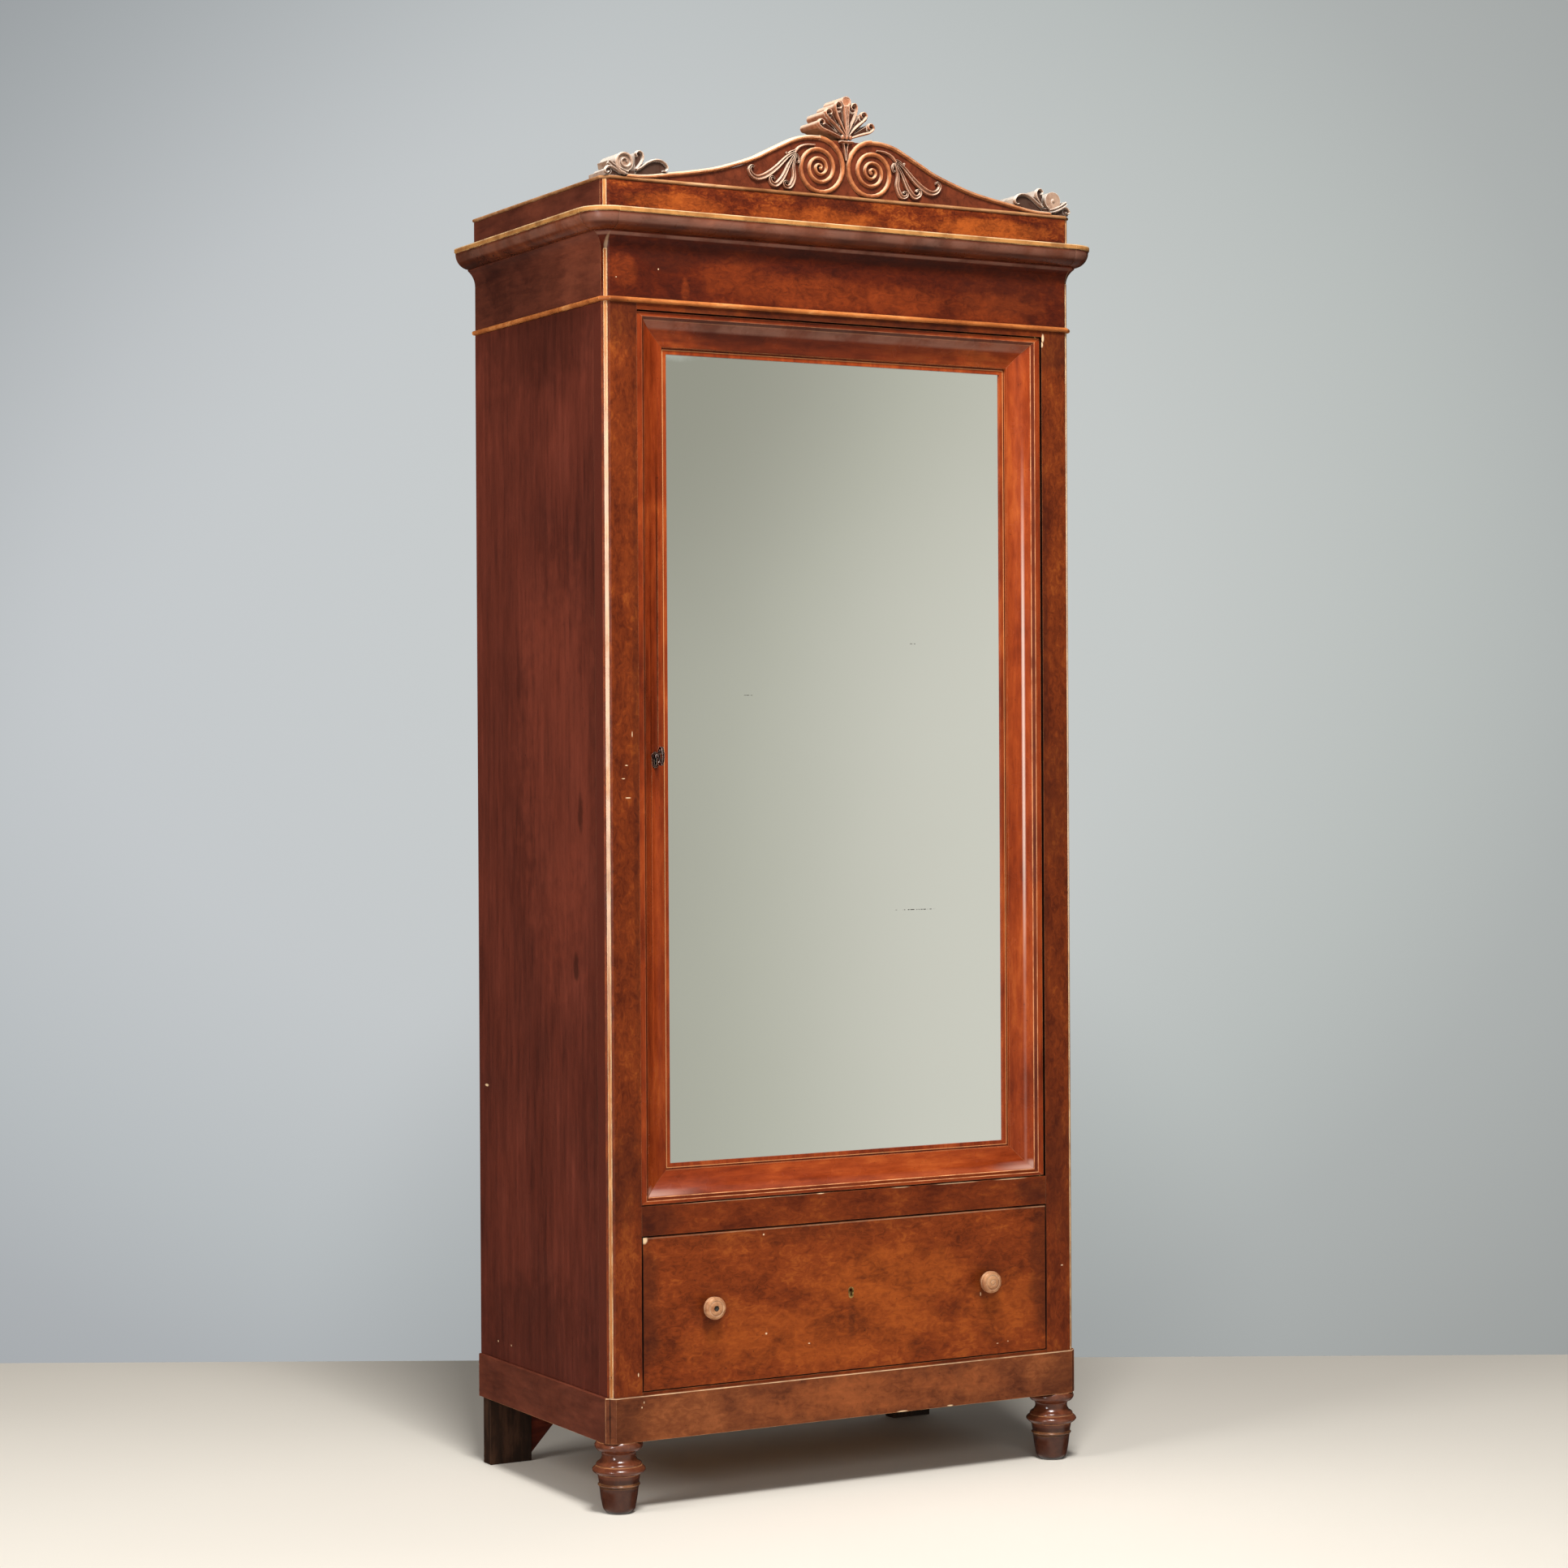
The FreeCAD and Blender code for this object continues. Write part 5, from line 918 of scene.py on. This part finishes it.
# %% Soften the arrises
EDGE_SOFTNESS = {
    0.5: ["drawer_front", "drawer_lock_case", "door_lock_case"],
    0.6: ["front_stiles", "middle_rail", "top_rail", "door_escutcheon"],
    0.7: ["door_hinge_stile", "door_lock_stile", "door_top_rail", "door_bottom_rail", "door_key"],
    0.8: ["frieze_front", "frieze_returns", "attic_front", "attic_returns", "linen_shelves",
          "drawer_sides", "drawer_back", "shelf_battens", "drawer_runners_and_guides",
          "compartment_floor"],
    0.9: ["left_side_board", "right_side_board"],
    1.0: ["plinth_front", "plinth_returns", "mirror_backboard"],
    1.2: ["rear_foot_brackets", "cornice_front", "cornice_returns", "cornice_corner_blocks"],
    1.5: ["rear_feet"],
}


def soften(board, width):
    weld = board.modifiers.new("close_seams", "WELD")
    weld.merge_threshold = 0.05 * MM
    bevel = board.modifiers.new("soft_arris", "BEVEL")
    bevel.width = width * MM
    bevel.segments = 2
    bevel.limit_method = "ANGLE"
    bevel.angle_limit = math.radians(40)
    bevel.harden_normals = True


for width, names in EDGE_SOFTNESS.items():
    for name in names:
        soften(nodes[name], width)
    print("softened by", width, "mm:", len(names), "boards")

# %% [markdown]
# ## Hands for the carver
# Carving is drawn out: a small flat section is set down where a ridge starts, and pulled along the
# ridge's line, turned and resized at every step, as a gouge follows a drawn curve. The same three
# moves, extrude, rotate and resize, also turn a foot or a knob when the line is a straight axis.

# %% Helpers for edit mode
def pick(*pieces):
    """Selects these pieces and nothing else, and makes the first one active."""
    bpy.ops.object.select_all(action="DESELECT")
    for piece in reversed(pieces):
        piece.select_set(True)
        bpy.context.view_layer.objects.active = piece


def lay_disc(corners, radius, centre, rotation):
    """Sets down a filled circle and opens it in edit mode with its face selected."""
    pick()
    bpy.ops.mesh.primitive_circle_add(
        vertices=corners, radius=radius * MM, fill_type="NGON", location=centre, rotation=rotation)
    bpy.ops.object.transform_apply(location=True, rotation=True, scale=True)
    bpy.ops.object.mode_set(mode="EDIT")
    bpy.ops.mesh.select_mode(type="FACE")
    bpy.ops.mesh.select_all(action="SELECT")
    return bpy.context.object


def select_corner(piece, index):
    """In edit mode, selects one vertex of the piece."""
    mesh = bmesh.from_edit_mesh(piece.data)
    for corner in mesh.verts:
        corner.select_set(corner.index == index)
    mesh.select_flush_mode()
    bmesh.update_edit_mesh(piece.data)


def flat_section(corners, centre, rotation):
    """A filled polygon whose corners are pulled one by one to the given points."""
    piece = lay_disc(len(corners), 5, centre, rotation)
    starts = [corner.co.copy() for corner in piece.data.vertices]
    bpy.ops.mesh.select_mode(type="VERT")
    for i, (start, corner) in enumerate(zip(starts, corners)):
        select_corner(piece, i)
        bpy.ops.transform.translate(value=Vector(corner) - start)
    bpy.ops.mesh.select_mode(type="FACE")
    bpy.ops.mesh.select_all(action="SELECT")
    return piece


def pull(step):
    """Extrudes the selected faces by a step."""
    bpy.ops.mesh.extrude_region_move(TRANSFORM_OT_translate={"value": step})


def close_up(piece):
    """Ends edit mode with all faces pointing outwards."""
    bpy.ops.mesh.select_all(action="SELECT")
    bpy.ops.mesh.normals_make_consistent(inside=False)
    bpy.ops.mesh.select_all(action="DESELECT")
    bpy.ops.object.mode_set(mode="OBJECT")
    return piece


# %% Helpers for whole pieces
def join(name, pieces):
    pick(*pieces)
    bpy.ops.object.join()
    bpy.context.object.name = name
    return bpy.context.object


def smooth(piece, angle=40):
    pick(piece)
    bpy.ops.object.shade_smooth_by_angle(angle=math.radians(angle))
    return piece


def mirrored(piece, name):
    """A copy of the piece on the other side of the cupboard's middle."""
    pick(piece)
    bpy.ops.object.duplicate()
    copy = bpy.context.object
    copy.name = name
    bpy.ops.transform.resize(value=(-1, 1, 1), center_override=(0, 0, 0))
    bpy.ops.object.transform_apply(location=True, rotation=True, scale=True)
    bpy.ops.object.mode_set(mode="EDIT")
    return close_up(copy)


def finish_piece(piece, material, body, replaced):
    piece.data.materials.clear()
    piece.data.materials.append(material)
    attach(piece, body)
    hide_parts(replaced)
    print(piece.name, len(piece.data.polygons), "faces")


def finish_both_sides(piece, material, replaced, angle=40):
    """Smooths and finishes a right-hand carving and its mirror image on the left."""
    twin = mirrored(smooth(piece, angle), piece.name.replace("right", "left"))
    for carving in (piece, smooth(twin, angle)):
        finish_piece(carving, material, "cupboard", replaced)


# %% Helpers that draw a section along a line
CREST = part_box("pediment_board")[0].z / MM
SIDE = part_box("right_side_board")[1].x / MM


def flowing(points, steps):
    """A smooth line through given points: steps places between each pair, plus the last point."""
    padded = [[2 * a - b for a, b in zip(points[0], points[1])], *points,
              [2 * a - b for a, b in zip(points[-1], points[-2])]]
    line = []
    for before, start, end, after in zip(padded, padded[1:], padded[2:], padded[3:]):
        for i in range(steps):
            t = i / steps
            line.append([
                0.5 * (2 * q + (r - p) * t + (2 * p - 5 * q + 4 * r - s) * t * t
                       + (3 * q - p - 3 * r + s) * t ** 3)
                for p, q, r, s in zip(before, start, end, after)])
    line.append(list(points[-1]))
    return line


def headings(line):
    """The direction of the line at each place, as an angle from upright towards +X."""
    angles = []
    for i in range(len(line)):
        a, b = line[max(i - 1, 0)], line[min(i + 1, len(line) - 1)]
        angles.append(math.atan2(b[0] - a[0], b[1] - a[1]))
    return angles


def draw_ridge(section, line, relief, front=0.0):
    """Pulls a section along a line of (x, z, width) in millimetres.
    The section is (across, proud) in shares of the half width and of the relief."""
    turns = headings(line)
    x, z, width = line[0]
    centre = Vector((x * MM, STILE_FACE - front * MM, z * MM))
    across = Vector((math.cos(turns[0]), 0, -math.sin(turns[0])))
    corners = [centre + across * (a * width / 2 * MM) - Vector((0, p * relief * MM, 0))
               for a, p in section]
    piece = flat_section(corners, centre, (0, turns[0], 0))
    for i in range(1, len(line)):
        step = Vector((line[i][0] - line[i - 1][0], 0, line[i][1] - line[i - 1][1])) * MM
        centre = centre + step
        pull(step)
        turn = (turns[i] - turns[i - 1] + math.pi) % (2 * math.pi) - math.pi
        bpy.ops.transform.rotate(value=-turn, orient_axis="Y", center_override=centre)
        size = line[i][2] / line[i - 1][2]
        bpy.ops.transform.resize(value=(size, 1, size), center_override=centre)
    return close_up(piece)


def ridges(section, lines, relief, steps=5, front=0.0):
    """One ridge along each of several lines, which are smoothed first."""
    return [draw_ridge(section, flowing(line, steps), relief, front) for line in lines]


HALF_TURN = [math.pi * i / 8 for i in range(9)]
REED = [(math.cos(angle), math.sin(angle)) for angle in HALF_TURN]
GUTTER = [(1, 0), (1, 0.55), (0.85, 0.9), (0.62, 1), (0.38, 0.72), (0, 0.5), (-0.38, 0.72),
          (-0.62, 1), (-0.85, 0.9), (-1, 0.55), (-1, 0)]


# %% Helpers for boards, circles and balls
def rise(points, base=CREST):
    """Heights above the pediment's foot, or above another base, become heights above the floor."""
    return [(x, base + h, *width) for x, h, *width in points]


def slab(outline, front, back):
    """A board with the given outline of (x, z) in millimetres, front and back counted from the stiles."""
    ground = Vector((0, STILE_FACE, 0))
    corners = [ground + Vector((x, front, z)) * MM for x, z in outline]
    centre = sum(corners, Vector()) / len(corners)
    piece = flat_section(corners, centre, (math.pi / 2, 0, 0))
    pull((0, (back - front) * MM, 0))
    return close_up(piece)


def around(x, z, radius, angle):
    return x + radius * math.cos(angle), z + radius * math.sin(angle)


def circle(x, z, radius, count=28):
    return [around(x, z, radius, 2 * math.pi * i / count) for i in range(count)]


def ball(x, proud, z, radius, segments=20, rings=12, stretch=(1, 1, 1)):
    """A small sphere whose centre stands proud of the stiles."""
    pick()
    bpy.ops.mesh.primitive_uv_sphere_add(
        segments=segments, ring_count=rings, radius=radius * MM,
        location=(x * MM, STILE_FACE - proud * MM, z * MM))
    bpy.ops.transform.resize(value=stretch)
    bpy.ops.object.transform_apply(location=True, rotation=True, scale=True)
    return bpy.context.object


def hollow_face(piece, rim, depth):
    """Insets the faces that look forwards and presses their middle in."""
    pick(piece)
    bpy.ops.object.mode_set(mode="EDIT")
    bpy.ops.mesh.select_mode(type="FACE")
    mesh = bmesh.from_edit_mesh(piece.data)
    for face in mesh.faces:
        face.select_set(face.normal.y < -0.9)
    bmesh.update_edit_mesh(piece.data)
    bpy.ops.mesh.inset(thickness=rim * MM)
    pull((0, depth * MM, 0))
    bpy.ops.transform.resize(value=(0.85, 1, 0.85))
    return close_up(piece)


# %% [markdown]
# ## Moulding and volutes of the pediment
# A rounded moulding runs down each side of the pediment in one long swan-neck line and, towards the
# middle, winds into a volute. The line is drawn through a few points with a smooth curve. The volute
# follows a formula instead: its radius shrinks by the same share each turn, which is what makes a
# spiral look like carving rather than like a coiled rope.

# %% Edge moulding
TOP_LINE = [(52, 100.9, 2), (75, 99.8, 2), (100, 94, 2), (125, 82.5, 2), (156, 67, 2), (187.5, 52, 2),
            (250, 31.5, 2), (300, 21, 2), (340, 14.5, 2), (373, 8.5, 2), (397, 6, 2), (423, 6, 2)]
MOULDING_SECTION = [(8, -24), (1.8, -24), (0.3, -20), (0, -10), (0.5, -1), (1.8, 3.2), (3.6, 5.4),
                    (5.6, 5.6), (7.2, 3.8), (8, 0.6)]

edge_moulding = draw_ridge(MOULDING_SECTION, flowing(rise(TOP_LINE), 5), 1.0)
edge_moulding.name = "right_edge_moulding"
finish_both_sides(edge_moulding, edge_wood, "pediment_edge_moulding")

# %% Volutes
EYE_X, EYE_RISE = 52.0, 44.5
VOLUTE_START, VOLUTE_SHRINK, VOLUTE_POLE, VOLUTE_TURNS = 56.4, 0.758, 30.0, 3.35
VOLUTE_WIDTH, VOLUTE_THINNING = 8.4, 1.35
VOLUTE_STEPS = 87


def volute_line():
    """The middle of the volute's ridge, from the top of the outer turn inwards."""
    line = []
    for i in range(VOLUTE_STEPS + 1):
        turn = VOLUTE_TURNS * i / VOLUTE_STEPS
        width = VOLUTE_WIDTH - VOLUTE_THINNING * turn
        radius = (VOLUTE_START + VOLUTE_POLE) * VOLUTE_SHRINK ** turn - VOLUTE_POLE - width / 2
        angle = math.pi / 2 + 2 * math.pi * turn
        line.append((*around(EYE_X, CREST + EYE_RISE, radius, angle), width))
    return line


spiral = draw_ridge(REED, volute_line(), 6.0)
eye_x, eye_z, _ = volute_line()[-1]
eye = ball(eye_x, 2, eye_z, 3.4)
finish_both_sides(join("right_volute", [spiral, eye]), volute_wood,
                  "pediment_volutes")

# %% [markdown]
# ## Leaf sprays
# Beside each volute a stem leaves its outer turn and opens into three long petals and two small
# leaves. Each petal is a gutter, two rims with a hollow between them, that swells and then curls
# over at its tip. The same drawing is used on both sides, turned over.

# %% Leaf sprays
SPRAY_STEM = [(62, 83, 2.5), (78, 82, 3.5), (92, 76.5, 4.5), (101, 67, 5)]
SPRAY_PETALS = [
    [(101, 67, 3.5), (116, 58, 6), (137, 38, 8.5), (156, 24, 10), (172, 18, 9.5), (184, 21, 7.5),
     (190, 30, 5.5), (186.5, 37, 4), (181, 36, 3.2)],
    [(100, 66, 3.5), (112, 47, 5.5), (122, 27, 7.5), (130, 15.5, 9), (139, 8.5, 8.5), (148, 12, 6.5),
     (150, 19.5, 4.8), (144.5, 21.5, 3.6), (141.5, 18, 3)],
    [(99, 65, 3.5), (104.5, 44, 5), (103, 25, 7), (108, 11.5, 8), (114, 6.5, 7.5), (121.5, 8.5, 5.5),
     (123, 14, 4.2), (117.5, 16, 3.2), (115, 13, 2.6)]]
SMALL_LEAVES = [
    [(98, 71, 3), (108, 66.5, 5.5), (115, 62, 4), (118, 66, 2.5)],
    [(97, 64, 3), (93, 55, 4.5), (95, 50, 3.5), (99, 51, 2.5)]]

spray = join("right_spray", [
    *ridges(REED, [rise(SPRAY_STEM)], 5.5, steps=4),
    *ridges(GUTTER, map(rise, SPRAY_PETALS), 6.0),
    *ridges(GUTTER, map(rise, SMALL_LEAVES), 5.0)])
finish_both_sides(spray, carved_wood, "leaf_sprays", 30)

# %% [markdown]
# ## Palmette
# The palmette stands on a collar between the volutes: one upright fluted leaf and three leaves on
# each side, whose rims curl over inwards at the tips. It is cut from a deep block, so behind every
# tip the roll of the leaf runs back like a small cylinder. Rims, hollows and rolls are drawn
# separately, which keeps every form simple, and then joined into one carving.

# %% Palmette
PALMETTE_BASE = CREST + 94
PALMETTE_BACK = 58.0
LEAF_RIMS = [
    [(-2, 11, 3), (-8, 24, 3.6), (-17, 42, 4.2), (-21.5, 57, 4), (-19, 65, 3.6), (-13, 65, 3.2),
     (-9.5, 60, 2.8), (-11, 55.5, 2.4)],
    [(-3, 8, 3), (-12, 18, 3.8), (-24, 29, 4.2), (-36, 38.5, 4.2), (-41, 46.5, 3.8), (-37, 52, 3.4),
     (-31, 51, 3), (-29, 46, 2.6), (-32, 43.5, 2.2)],
    [(-5, 4, 3), (-18, 9, 4), (-33, 14, 4.4), (-48, 19, 4.4), (-55, 26, 4), (-51.5, 33, 3.4),
     (-45.5, 32.5, 3), (-44, 27, 2.6), (-47.5, 25, 2.2)]]
LEAF_ROLLS = [(-14.5, 57, 8.2), (-35, 43.5, 7.8), (-49, 26.5, 6.9)]
REED_TOPS = (-4.4, 0, 4.4)
STEM = [(-3, 4), (3, 4), (8, 62), (-8, 62)]
COLLAR = [(-13, -1, 3), (-8, -1.4, 5), (0, -1.6, 5.6), (8, -1.4, 5), (13, -1, 3)]


def on_base(lines):
    return [rise(line, PALMETTE_BASE) for line in lines]


def leaf_hollow(x, h, radius):
    """The sunk body of one leaf, from the collar to the roll at its tip."""
    away = Vector((x, h)).normalized()
    aside = Vector((-away.y, away.x))
    root, tip = 3.5, radius * 0.95
    points = [aside * root, Vector((x, h)) + aside * tip, Vector((x, h)) - aside * tip, -aside * root]
    return [(p.x, PALMETTE_BASE + max(p.y, 1)) for p in points]


def palmette():
    pieces = ridges(REED, on_base(LEAF_RIMS), 7.0, front=1.0)
    for x, h, radius in LEAF_ROLLS:
        roll = slab(circle(x, PALMETTE_BASE + h, radius), -3, PALMETTE_BACK)
        pieces.append(hollow_face(roll, 1.4, 1.8))
        pieces.append(slab(leaf_hollow(x, h, radius), -2, PALMETTE_BACK - 2))
    left = join("left_leaves", pieces)
    right = mirrored(left, "right_leaves")
    reeds = [[(x * 0.35, 8, 3.2), (x * 0.6, 34, 4.0), (x, 60, 5.4)] for x in REED_TOPS]
    centre = ridges(REED, on_base(reeds), 8.0, steps=4, front=1.0)
    centre.append(slab(rise(STEM, PALMETTE_BASE), -2, PALMETTE_BACK))
    top = slab(circle(0, PALMETTE_BASE + 68, 9), -6, PALMETTE_BACK)
    centre.append(hollow_face(top, 1.6, 1.2))
    return join("carved_palmette", [left, right, *centre, *collar()])


def collar():
    """Three beads above the ring that ties the leaves, the ring itself and a dart below it."""
    beads = [ball(x, 5, PALMETTE_BASE + 6, 3.8, 16, 10, (1, 1.1, 1.2)) for x in (-7.5, 0, 7.5)]
    darts = [[(x * 4.2, -3, 3.4), (x * 2.2, -16, 2.6), (x * 0.8, -33, 1.6)] for x in (-1, 1)]
    return [*beads, *ridges(REED, on_base([COLLAR]), 10.0, steps=4),
            *ridges(REED, on_base(darts), 5.0, steps=4)]


finish_piece(smooth(palmette(), 35), carved_wood, "cupboard", "palmette")

# %% [markdown]
# ## Corner ornaments
# At each end of the pediment lies an acroterion: a rolled boss with leaves that lean inwards and
# outwards, again cut right through a deep block. On the left the edge moulding curls up into a
# scroll in front of the boss. On the right the boss shows a plain round end with a small eye.

# %% Acroteria
ORNAMENT_BACK = 60.0
LONG_PETAL = [(60, 12, 4.5), (69, 17, 5), (80, 25, 4.6), (94, 31, 4.4), (106, 31, 4.2),
              (115, 26, 4), (118.5, 19, 3.6), (115, 13.5, 3.2), (110, 14, 2.6)]
UPPER_LEAF = [(60, 13, 4), (67, 21, 4.6), (72.5, 31, 4.4), (71.5, 40, 4), (65, 43.5, 3.6),
              (59.5, 39.5, 3.2), (61, 34, 2.6)]
RISING_LEAF = [(44, 5.5, 7), (34, 8, 8), (22, 13, 8), (8, 22, 7)]
FALLING_LEAF = [(33, 5, 5), (22, 11, 5), (12, 14.5, 4.6), (5, 12, 4.2), (2, 6, 3.6), (6, 3, 3),
                (9, 6, 2.4)]
LONG_HOLLOW = [(57, 4), (118, 8), (116, 24), (106, 31), (94, 31), (80, 25), (66, 15)]
UPPER_HOLLOW = [(58, 10), (68, 18), (74, 30), (71, 41), (62, 42), (58, 36)]
FOOT_HOLLOW = [(3, 0), (60, 0), (58, 12), (40, 10), (12, 12), (3, 8)]
BOSS = (38, 24, 16)
OUTER_ROLL = (9, 7, 5.6)
OUTER_LEAF = [(12, 15), (25, 13), (27, 20), (10, 25)]
OUTER_BACK = 42.0


def from_side(points):
    """Points counted inwards from the right side board, above the pediment's foot."""
    return rise([(SIDE - x, h, *width) for x, h, *width in points])


def ornament():
    pieces = []
    for line, relief in ((LONG_PETAL, 7.0), (UPPER_LEAF, 6.5), (FALLING_LEAF, 6.0)):
        pieces += ridges(REED, [from_side(line)], relief)
    pieces += ridges(GUTTER, [from_side(RISING_LEAF)], 6.5, steps=4)
    for hollow in (LONG_HOLLOW, UPPER_HOLLOW, FOOT_HOLLOW):
        pieces.append(slab(from_side(hollow), -0.5, ORNAMENT_BACK))
    boss, roll = from_side([BOSS, OUTER_ROLL])
    pieces.append(slab(circle(*boss, 36), -4.5, ORNAMENT_BACK))
    pieces.append(slab(circle(*roll, 24), -1.5, OUTER_BACK))
    pieces.append(slab(from_side(OUTER_LEAF), -1, OUTER_BACK))
    return join("right_ornament", pieces)


right_ornament = ornament()
left_ornament = mirrored(right_ornament, "left_ornament")

# %% Scroll on the left boss and eye on the right one
SCROLL_TURNS, SCROLL_START, SCROLL_END = 1.75, 19.5, 3.0
SCROLL_WIDTH, SCROLL_THINNING = 5.6, 2.6
SCROLL_STEPS = 46
boss_x, boss_z, _ = from_side([BOSS])[0]


def scroll_line():
    """From the moulding's end under the boss, up its inner side and round into the middle."""
    line = []
    for i in range(SCROLL_STEPS + 1):
        share = i / SCROLL_STEPS
        radius = SCROLL_START + (SCROLL_END - SCROLL_START) * share ** 0.8
        angle = -math.pi / 2 - 2 * math.pi * SCROLL_TURNS * share
        line.append((*around(-boss_x, boss_z, radius, angle), SCROLL_WIDTH - SCROLL_THINNING * share))
    return line


scroll = draw_ridge(REED, scroll_line(), 4.5, front=4.0)
boss_eye = ball(boss_x, 4.5, boss_z, 3.2)
left_ornament = smooth(join("left_ornament", [left_ornament, scroll]), 35)
right_ornament = smooth(join("right_ornament", [right_ornament, boss_eye]), 35)
finish_piece(left_ornament, dusty_wood, "cupboard", "left_acroterion")
finish_piece(right_ornament, dusty_wood, "cupboard", "right_acroterion")

# %% [markdown]
# ## Turned feet and knobs
# A turner cuts a foot from a spinning block, so every cross section is a circle. In Blender the same
# shape grows from one circle that is extruded along the axis and resized at each level. The hollows
# and rings are short arcs between a few measured radii.

# %% Feet
FOOT_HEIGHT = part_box("plinth_front")[0].z / MM
FOOT_RADIUS = 45.0
FOOT_PROFILE = [
    (0.40, 0.0), (0.46, 0.004), (0.62, 0.09, 0.035, 4), (0.725, 0.345, 0.012, 4), (0.735, 0.352),
    (0.735, 0.366), (0.715, 0.37), (0.715, 0.378), (0.775, 0.384), (0.775, 0.408, 0.018, 4),
    (0.745, 0.414), (0.745, 0.424), (0.805, 0.54, 0.0, 3), (0.84, 0.546), (0.885, 0.552),
    (0.885, 0.655, 0.115, 8), (0.855, 0.662), (0.855, 0.672), (0.80, 0.708, 0.02, 3),
    (0.745, 0.716), (0.655, 0.84, -0.06, 6), (0.80, 0.872, -0.02, 3), (0.83, 0.998, 0.09, 7)]


def foot_profile():
    """Radius and height from the floor up. FOOT_PROFILE has both as shares of the widest ring and
    of the foot's height; an arc to a point also has its bulge and its number of steps."""
    points = [FOOT_PROFILE[0]]
    for radius, height, *arc in FOOT_PROFILE[1:]:
        bulge, steps = arc or (0.0, 1)
        start_radius, start_height = points[-1]
        for i in range(1, steps + 1):
            share = i / steps
            swell = bulge * math.sin(math.pi * share)
            points.append((start_radius + (radius - start_radius) * share + swell,
                           start_height + (height - start_height) * share))
    return [(r * FOOT_RADIUS, h * FOOT_HEIGHT) for r, h in points]


def turned(name, base, axis, profile, corners=56):
    """A solid of revolution: profile is (radius, distance along the axis) in millimetres."""
    base = Vector(base)
    along = Vector(axis)
    start = base + along * (profile[0][1] * MM)
    piece = lay_disc(corners, profile[0][0], start, along.to_track_quat("Z", "Y").to_euler())
    piece.name = name
    for (radius, level), (next_radius, next_level) in zip(profile, profile[1:]):
        pull(along * ((next_level - level) * MM))
        middle = base + along * (next_level * MM)
        bpy.ops.transform.resize(value=[next_radius / radius] * 3, center_override=middle)
    return close_up(piece)


feet_low, feet_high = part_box("front_feet")
foot_reach = (feet_high.x - feet_low.x) / 2 - FOOT_RADIUS * MM
for label, side in (("left_foot", -1), ("right_foot", 1)):
    spot = (side * foot_reach, (feet_low.y + feet_high.y) / 2, 0)
    foot = smooth(turned(label, spot, (0, 0, 1), foot_profile()), 35)
    finish_piece(foot, foot_wood, "cupboard", "front_feet")

# %% Knobs
KNOB_PROFILE = [
    (12.0, 0.0), (12.6, 0.8), (12.8, 1.6), (12.5, 2.6), (11.6, 3.1), (9.6, 4.0), (9.2, 5.2),
    (10.4, 6.6), (14.5, 7.8), (17.4, 9.0), (18.6, 11.0), (18.9, 13.2), (18.6, 14.6), (17.8, 15.2),
    (17.8, 15.8), (18.6, 16.4), (19.3, 17.6), (19.4, 19.2), (18.7, 21.6), (17.2, 23.2),
    (15.0, 24.0), (13.4, 24.0), (12.9, 23.3), (12.2, 23.3), (11.4, 24.2), (9.2, 24.8), (6.6, 24.9),
    (5.4, 24.6)]
KNOB_ENDS = {-1: [(4.4, 23.6), (4.2, 22.0)],
             1: [(4.9, 24.0), (4.6, 23.9), (4.2, 24.6), (2.4, 25.0), (0.3, 25.0)]}
KNOB_RADIUS = 19.5
knob_low, knob_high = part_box("drawer_knobs")
knob_reach = knob_high.x - KNOB_RADIUS * MM
for label, side in (("left_knob", -1), ("right_knob", 1)):
    spot = (side * knob_reach, knob_high.y, (knob_low.z + knob_high.z) / 2)
    knob = smooth(turned(label, spot, (0, -1, 0), KNOB_PROFILE + KNOB_ENDS[side], 48), 35)
    finish_piece(knob, knob_wood, "drawer", "drawer_knobs")
